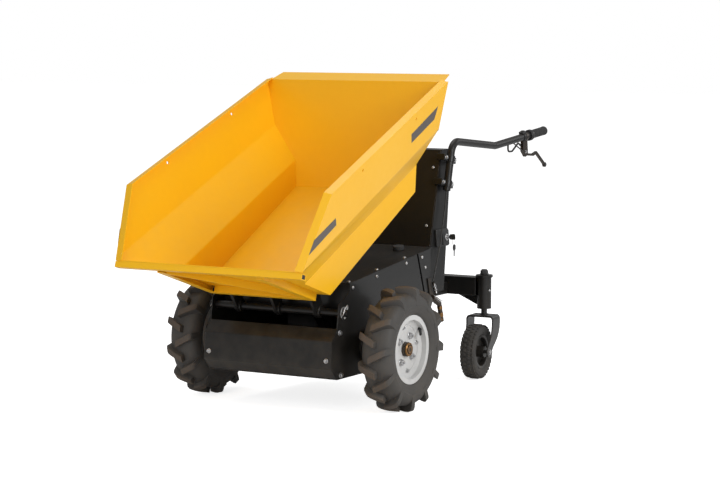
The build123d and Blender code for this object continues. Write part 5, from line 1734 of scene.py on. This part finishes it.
# --- casters
@dataclass
class Caster:
    """A swivelling rear caster: post, fork, block-tread tyre and rim.

    Attributes:
        side: the machine's side.
        crown: side distance and radius of the tyre under its blocks.
        block_rows: side distance of each row of tread blocks and its share of a pitch ahead.
        blocks: blocks in a row.
        block: half length, half width and height of a block.
        block_seats: radius under the inner rows and under the outer rows.
        block_lean: lean of the outer rows, in radians.
        arch: across and height of the fork's arch, round its edge.
        leg: along and height of a fork leg, round its edge.
        fork_span: where the arch begins and ends, from the swivel towards the axle.
        leg_out: inner face of a leg, from the fork's middle.
        nut_seat: height of the stem's nut.
    """

    side: Side
    crown: tuple[Pair, ...] = ((0.0, 0.0968), (0.012, 0.0964), (0.020, 0.0936), (0.0262, 0.0885), (0.0284, 0.0815),
                               (0.0284, 0.0740), (0.0262, 0.0690), (0.0226, 0.0645), (0.0205, 0.0622))
    block_rows: tuple[Pair, ...] = ((-0.0205, 0.5), (-0.0070, 0.0), (0.0070, 0.5), (0.0205, 0.0))
    blocks: int = 36
    block: tuple[float, float, float] = (0.0056, 0.0048, 0.0042)
    block_seats: Pair = (0.0960, 0.0928)
    block_lean: float = 0.26
    arch: tuple[Pair, ...] = (
        (-0.0530, 0.1950), (-0.0530, 0.2130), (-0.0513, 0.2195), (-0.0475, 0.2245), (-0.0420, 0.2268), (0.0420, 0.2268),
        (0.0475, 0.2245), (0.0513, 0.2195), (0.0530, 0.2130), (0.0530, 0.1950), (0.0470, 0.1950), (0.0470, 0.2120),
        (0.0448, 0.2172), (0.0400, 0.2200), (-0.0400, 0.2200), (-0.0448, 0.2172), (-0.0470, 0.2120), (-0.0470, 0.1950))
    leg: tuple[Pair, ...] = (
        (-0.0250, 0.1970), (-0.0235, 0.1820), (-0.0180, 0.1660), (-0.0040, 0.1450), (0.0180, 0.1270), (0.0380, 0.1130),
        (0.0490, 0.1010), (0.0530, 0.0900), (0.0600, 0.0828), (0.0720, 0.0790), (0.0840, 0.0828), (0.0915, 0.0920),
        (0.0930, 0.1020), (0.0885, 0.1150), (0.0770, 0.1290), (0.0640, 0.1420), (0.0540, 0.1560), (0.0470, 0.1740),
        (0.0430, 0.1970))
    fork_span: Pair = (-0.025, 0.043)
    leg_out: float = 0.0470
    nut_seat: float = 0.3748

    @property
    def fork_body(self) -> Body:
        """The moving group of this caster's fork."""
        return Body.LEFT_CASTER if self.side is Side.LEFT else Body.RIGHT_CASTER

    @property
    def wheel_body(self) -> Body:
        """The moving group of this caster's wheel."""
        return Body.LEFT_CASTER_WHEEL if self.side is Side.LEFT else Body.RIGHT_CASTER_WHEEL

    @property
    def swivel(self) -> Vector:
        """A point on the caster's swivel axis."""
        return joint_place(f"{self.side.word}_caster_swivel")

    @property
    def axle(self) -> Vector:
        """The middle of the caster's wheel."""
        return joint_place(f"{self.side.word}_caster_spin")

    @property
    def axle_way(self) -> Vector:
        """The direction of the caster's axle, to the operator's left."""
        return joint_way(f"{self.side.word}_caster_spin")

    def build(self) -> None:
        """Build and dress the caster's pieces."""
        word = self.side.word
        remade(f"{word}_caster_post", CHASSIS_PAINT, Body.CHASSIS, 0.0020, segments=3)
        self.fork()
        self.tyre()
        remade(f"{word}_caster_rim", CHASSIS_PAINT, self.wheel_body, 0.0014)
        self.axle_nuts()
        self.grease_nipple()

    def in_fork(self, along: float, across: float, height: float) -> Vector:
        """Return a point of the fork in the row frame.

        Args:
            along: distance from the swivel towards the axle.
            across: distance to the operator's left of the fork's middle.
            height: distance above the ground.

        Returns:
            The point.
        """
        left = self.axle_way
        ahead = Vector((left.y, -left.x, 0.0))
        return Vector((self.swivel.x, self.swivel.y, 0.0)) + ahead * along + left * across + Vector((0, 0, height))

    def fork(self) -> None:
        """Bend the fork's arch, cut its pressed legs and turn its stem and axle."""
        word = self.side.word
        start, end = self.fork_span
        arch = [self.in_fork(start, across, height) for across, height in self.arch]
        depth = self.in_fork(end, 0.0, 0.0) - self.in_fork(start, 0.0, 0.0)
        pieces = [Bench.plate("fork_arch", arch, depth, 0.0012, 2)]
        for leg in (-1, 1):
            outline = [self.in_fork(along, leg * self.leg_out, height) for along, height in self.leg]
            pieces.append(Bench.plate("fork_leg", outline, self.axle_way * (leg * 0.006), 0.0022, 3))
        swivel = self.swivel
        stem = [(0.0, 0.2240), (0.0160, 0.2240), (0.0160, 0.2290), (0.0110, 0.2300), (0.0110, 0.3725), (0.0165, 0.3730),
                (0.0165, 0.3748), (0.0110, 0.3750), (0.0108, 0.3895), (0.0096, 0.3908), (0.0, 0.3908)]
        upright = seat(Vector((swivel.x, swivel.y, 0.0)), Vector((0, 0, 1)))
        pieces.append(Bench.turned("fork_stem", stem, upright, 36))
        axle = [(0.0, -0.0560), (0.0052, -0.0560), (0.0060, -0.0552), (0.0060, 0.0552), (0.0052, 0.0560), (0.0, 0.0560)]
        pieces.append(Bench.turned("fork_axle", axle, seat(self.axle, self.axle_way), 24))
        nut = HexBolt(0.0290, 0.0110, 0.0165, 0.0006, 0.0).made("stem_nut")
        on_stem = seat(Vector((swivel.x, swivel.y, self.nut_seat)), Vector((0, 0, 1)), 0.5)
        pieces.append(Bench.copies(nut, [on_stem], "nut"))
        whole = Bench.joined(pieces, f"{word}_caster_fork_pressed")
        dressed(whole, FORK_PAINT, self.fork_body, (f"{word}_caster_fork",))

    def tyre(self) -> None:
        """Turn the tyre and set its tread blocks."""
        half = [(radius, distance) for distance, radius in self.crown]
        mirrored = [(radius, -distance) for radius, distance in reversed(half[1:])]
        place = seat(self.axle, self.axle_way)
        pieces = [Bench.turned(f"{self.side.word}_caster_carcass", [*mirrored, *half, mirrored[0]], place, 72)]
        for row, (offset, lead) in enumerate(self.block_rows):
            pieces.append(self.row_of_blocks(row, offset, lead, place))
        whole = Bench.joined(pieces, f"{self.side.word}_caster_tyre_treaded")
        dressed(whole, CASTER_RUBBER, self.wheel_body, (f"{self.side.word}_caster_tyre",))

    def row_of_blocks(self, row: int, offset: float, lead: float, place: Matrix) -> Piece:
        """Build one tread block and copy it round the tyre.

        Args:
            row: the row's number.
            offset: side distance of the row.
            lead: share of a pitch that the row runs ahead.
            place: the wheel's placing.

        Returns:
            The joined row.
        """
        long, wide, tall = self.block
        inner = abs(offset) < 0.01
        radius = self.block_seats[0 if inner else 1]
        lean = 0.0 if inner else (self.block_lean if offset > 0 else -self.block_lean)
        corners = [Vector((x, y, 0.0)) for x, y in ((-long, -wide), (long, -wide), (long, wide), (-long, wide))]
        template = Bench.plate(f"tread_block_{row}", corners, Vector((0, 0, tall)), 0.0009, 1)
        places = []
        for index in range(self.blocks):
            angle = (index + lead) * tau / self.blocks
            stand = Matrix.Rotation(angle, 4, "Z") @ Matrix.Translation((radius - 0.001, 0, offset))
            turned = Matrix.Rotation(pi / 2, 4, "Y") @ Matrix.Rotation(pi / 2, 4, "Z") @ Matrix.Rotation(lean, 4, "X")
            places.append(place @ stand @ turned)
        return Bench.copies(template, places, f"{self.side.word}_tread_row_{row}")

    def axle_nuts(self) -> None:
        """Fit the nuts on the caster's axle."""
        ends = []
        for way in (-1, 1):
            out = self.axle_way * way
            ends.append(seat(self.axle + out * 0.0530, out, way * 0.4))
        nut = HexBolt(0.0175, 0.0026, 0.0100, 0.0006).made("axle_nut")
        nuts = Bench.copies(nut, ends, f"{self.side.word}_caster_axle_nuts")
        dressed(nuts, ZINC, self.fork_body)

    def grease_nipple(self) -> None:
        """Turn the grease nipple on the outer side of the caster's post."""
        low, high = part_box(f"{self.side.word}_caster_post")
        out = Vector((0.35, self.side.value, 0)).normalized()
        root = Vector((self.swivel.x, self.swivel.y, low.z + (high.z - low.z) * 0.55)) + out * 0.0255
        rings = [(0.0, 0.0), (0.0036, 0.0), (0.0040, 0.0008), (0.0040, 0.0030), (0.0022, 0.0038), (0.0022, 0.0052),
                 (0.0028, 0.0064), (0.0026, 0.0078), (0.0012, 0.0086), (0.0, 0.0086)]
        piece = Bench.turned(f"{self.side.word}_grease_nipple", rings, seat(root, out), 16)
        dressed(piece, ZINC, Body.CHASSIS)


@dataclass
class RearBeam:
    """The cross beam and the arms that carry the casters.

    Attributes:
        edge: rounding of their edges.
        post_radius: radius of the posts that the beam is welded to.
    """

    edge: float = 0.0030
    post_radius: float = 0.0265

    def build(self) -> None:
        """Build and dress the beam and its arms."""
        for node in ("rear_beam", "rear_arms"):
            remade(node, CHASSIS_PAINT, Body.CHASSIS, self.edge, segments=3)
        self.end_welds()

    def end_welds(self) -> None:
        """Lay weld beads where the beam meets the caster posts."""
        low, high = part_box("rear_beam")
        beads = []
        for side in Side:
            post = joint_place(f"{side.word}_caster_swivel")
            for height in (low.z, high.z):
                way = 1 if height > (low.z + high.z) / 2 else -1
                for step in range(15):
                    angle = radians(-70 + 10 * step)
                    run, off = self.post_radius * sin(angle), self.post_radius * cos(angle)
                    spot = Vector((post.x + run, post.y - side.value * off, height))
                    beads.append(seat(spot, Vector((0, -side.value * 0.5, way)).normalized()))
        rings = [(0.0, -0.0010), (0.0030, -0.0006), (0.0024, 0.0008), (0.0, 0.0013)]
        template = Bench.turned("weld_bead_small", rings, steps=10)
        dressed(Bench.copies(template, beads, "beam_weld_beads"), CHASSIS_PAINT, Body.CHASSIS)


# --- studio
@dataclass(frozen=True)
class SoftBox:
    """One large soft lamp.

    Attributes:
        name: the lamp's name.
        place: where it hangs.
        aim: what it faces.
        size: its width.
        power: its power in watts.
    """

    name: str
    place: tuple[float, float, float]
    aim: tuple[float, float, float]
    size: float
    power: float

    def hang(self) -> None:
        """Hang the lamp."""
        light = bpy.data.lights.new(self.name, "AREA")
        light.shape = "SQUARE"
        light.size = self.size
        light.energy = self.power
        lamp = bpy.data.objects.new(self.name, light)
        bpy.context.scene.collection.objects.link(lamp)
        lamp.location = self.place
        lamp.rotation_euler = (Vector(self.aim) - Vector(self.place)).to_track_quat("-Z", "Y").to_euler()


@dataclass
class Studio:
    """The pale floor, the white surround, the lamps and the camera.

    Attributes:
        camera_place: where the camera stands.
        camera_turn: its turn about X, Y and Z, in degrees.
        lens: focal length in millimetres, on a 36 mm sensor.
        lamps: the soft boxes.
        surround: strength of the surround's light.
        floor_grey: how pale the floor is.
        floor_glow: light that the floor adds where the camera sees it.
    """

    camera_place: tuple[float, float, float] = (6.81275, 4.011, 1.289)
    camera_turn: tuple[float, float, float] = (84.43, 0.0, 120.56)
    lens: float = 112.6
    surround: float = 0.36
    floor_grey: float = 0.86
    floor_glow: float = 0.80
    lamps: tuple[SoftBox, ...] = (
        SoftBox("key_soft_box", (1.4, 4.8, 2.7), (0.0, 0.0, 0.4), 2.4, 150.0),
        SoftBox("top_soft_box", (-0.6, -0.9, 4.6), (0.0, 0.0, 0.4), 3.0, 62.0),
        SoftBox("front_soft_box", (5.2, 0.2, 2.2), (0.2, 0.0, 0.4), 2.4, 62.0),
        SoftBox("rear_soft_box", (-4.0, 2.4, 2.6), (0.0, 0.0, 0.5), 2.4, 26.0),
    )

    def build(self) -> None:
        """Set up the floor, surround, lamps and camera."""
        self.floor()
        self.world()
        for lamp in self.lamps:
            lamp.hang()
        self.camera()

    def floor(self) -> None:
        """Lay the floor, which glows to the camera alone, so that it shows white apart from the shadow on it."""
        bpy.ops.object.select_all(action="DESELECT")
        bpy.ops.mesh.primitive_plane_add(size=60.0, location=(0, 0, -0.0005))
        piece = bpy.context.object
        piece.name = "studio_floor"
        made = bpy.data.materials.new("studio_floor_white")
        made.use_nodes = True
        made.node_tree.nodes.clear()
        desk = Desk(made.node_tree)
        matt = desk.put("BsdfDiffuse")
        matt.inputs["Color"].default_value = (self.floor_grey, self.floor_grey, self.floor_grey, 1.0)
        glow = desk.put("Emission")
        glow.inputs["Strength"].default_value = self.floor_glow
        both = desk.put("AddShader")
        desk.wire(matt.outputs[0], both.inputs[0])
        desk.wire(glow.outputs[0], both.inputs[1])
        seen = desk.put("MixShader")
        desk.wire(desk.put("LightPath").outputs["Is Camera Ray"], seen.inputs[0])
        desk.wire(matt.outputs[0], seen.inputs[1])
        desk.wire(both.outputs[0], seen.inputs[2])
        desk.wire(seen.outputs[0], desk.put("OutputMaterial").inputs["Surface"])
        piece.data.materials.append(made)

    def world(self) -> None:
        """Light the surround softly, and show it white to the camera and through clear pieces."""
        world = bpy.data.worlds.new("studio_surround")
        bpy.context.scene.world = world
        world.use_nodes = True
        world.node_tree.nodes.clear()
        desk = Desk(world.node_tree)
        light = desk.put("Background")
        light.inputs["Strength"].default_value = self.surround
        white = desk.put("Background")
        white.inputs["Strength"].default_value = 1.0
        for sky in (light, white):
            sky.inputs["Color"].default_value = (1.0, 1.0, 1.0, 1.0)
        path = desk.put("LightPath")
        seen = desk.maths("MAXIMUM", path.outputs["Is Camera Ray"], path.outputs["Is Transmission Ray"])
        mixed = desk.put("MixShader")
        desk.wire(seen, mixed.inputs[0])
        desk.wire(light.outputs[0], mixed.inputs[1])
        desk.wire(white.outputs[0], mixed.inputs[2])
        desk.wire(mixed.outputs[0], desk.put("OutputWorld").inputs["Surface"])

    def camera(self) -> None:
        """Stand the camera."""
        data = bpy.data.cameras.new("studio_camera")
        data.lens = self.lens
        data.sensor_width = 36.0
        camera = bpy.data.objects.new("studio_camera", data)
        bpy.context.scene.collection.objects.link(camera)
        camera.location = self.camera_place
        camera.rotation_euler = tuple(radians(turn) for turn in self.camera_turn)
        bpy.context.scene.camera = camera
        bpy.context.scene.view_settings.view_transform = "Standard"


def main() -> None:
    """Build the machine piece by piece, then the studio."""
    logging.basicConfig(level=logging.INFO, format="%(name)s: %(message)s")
    Studio().build()
    Hopper().build()
    Chassis().build()
    TippingActuator().build()
    ControlColumn().build()
    Handlebars().build()
    BrakeGear().build()
    RearBeam().build()
    for side in Side:
        DriveWheel(side).build()
        Caster(side).build()


if __name__ == "__main__":
    main()
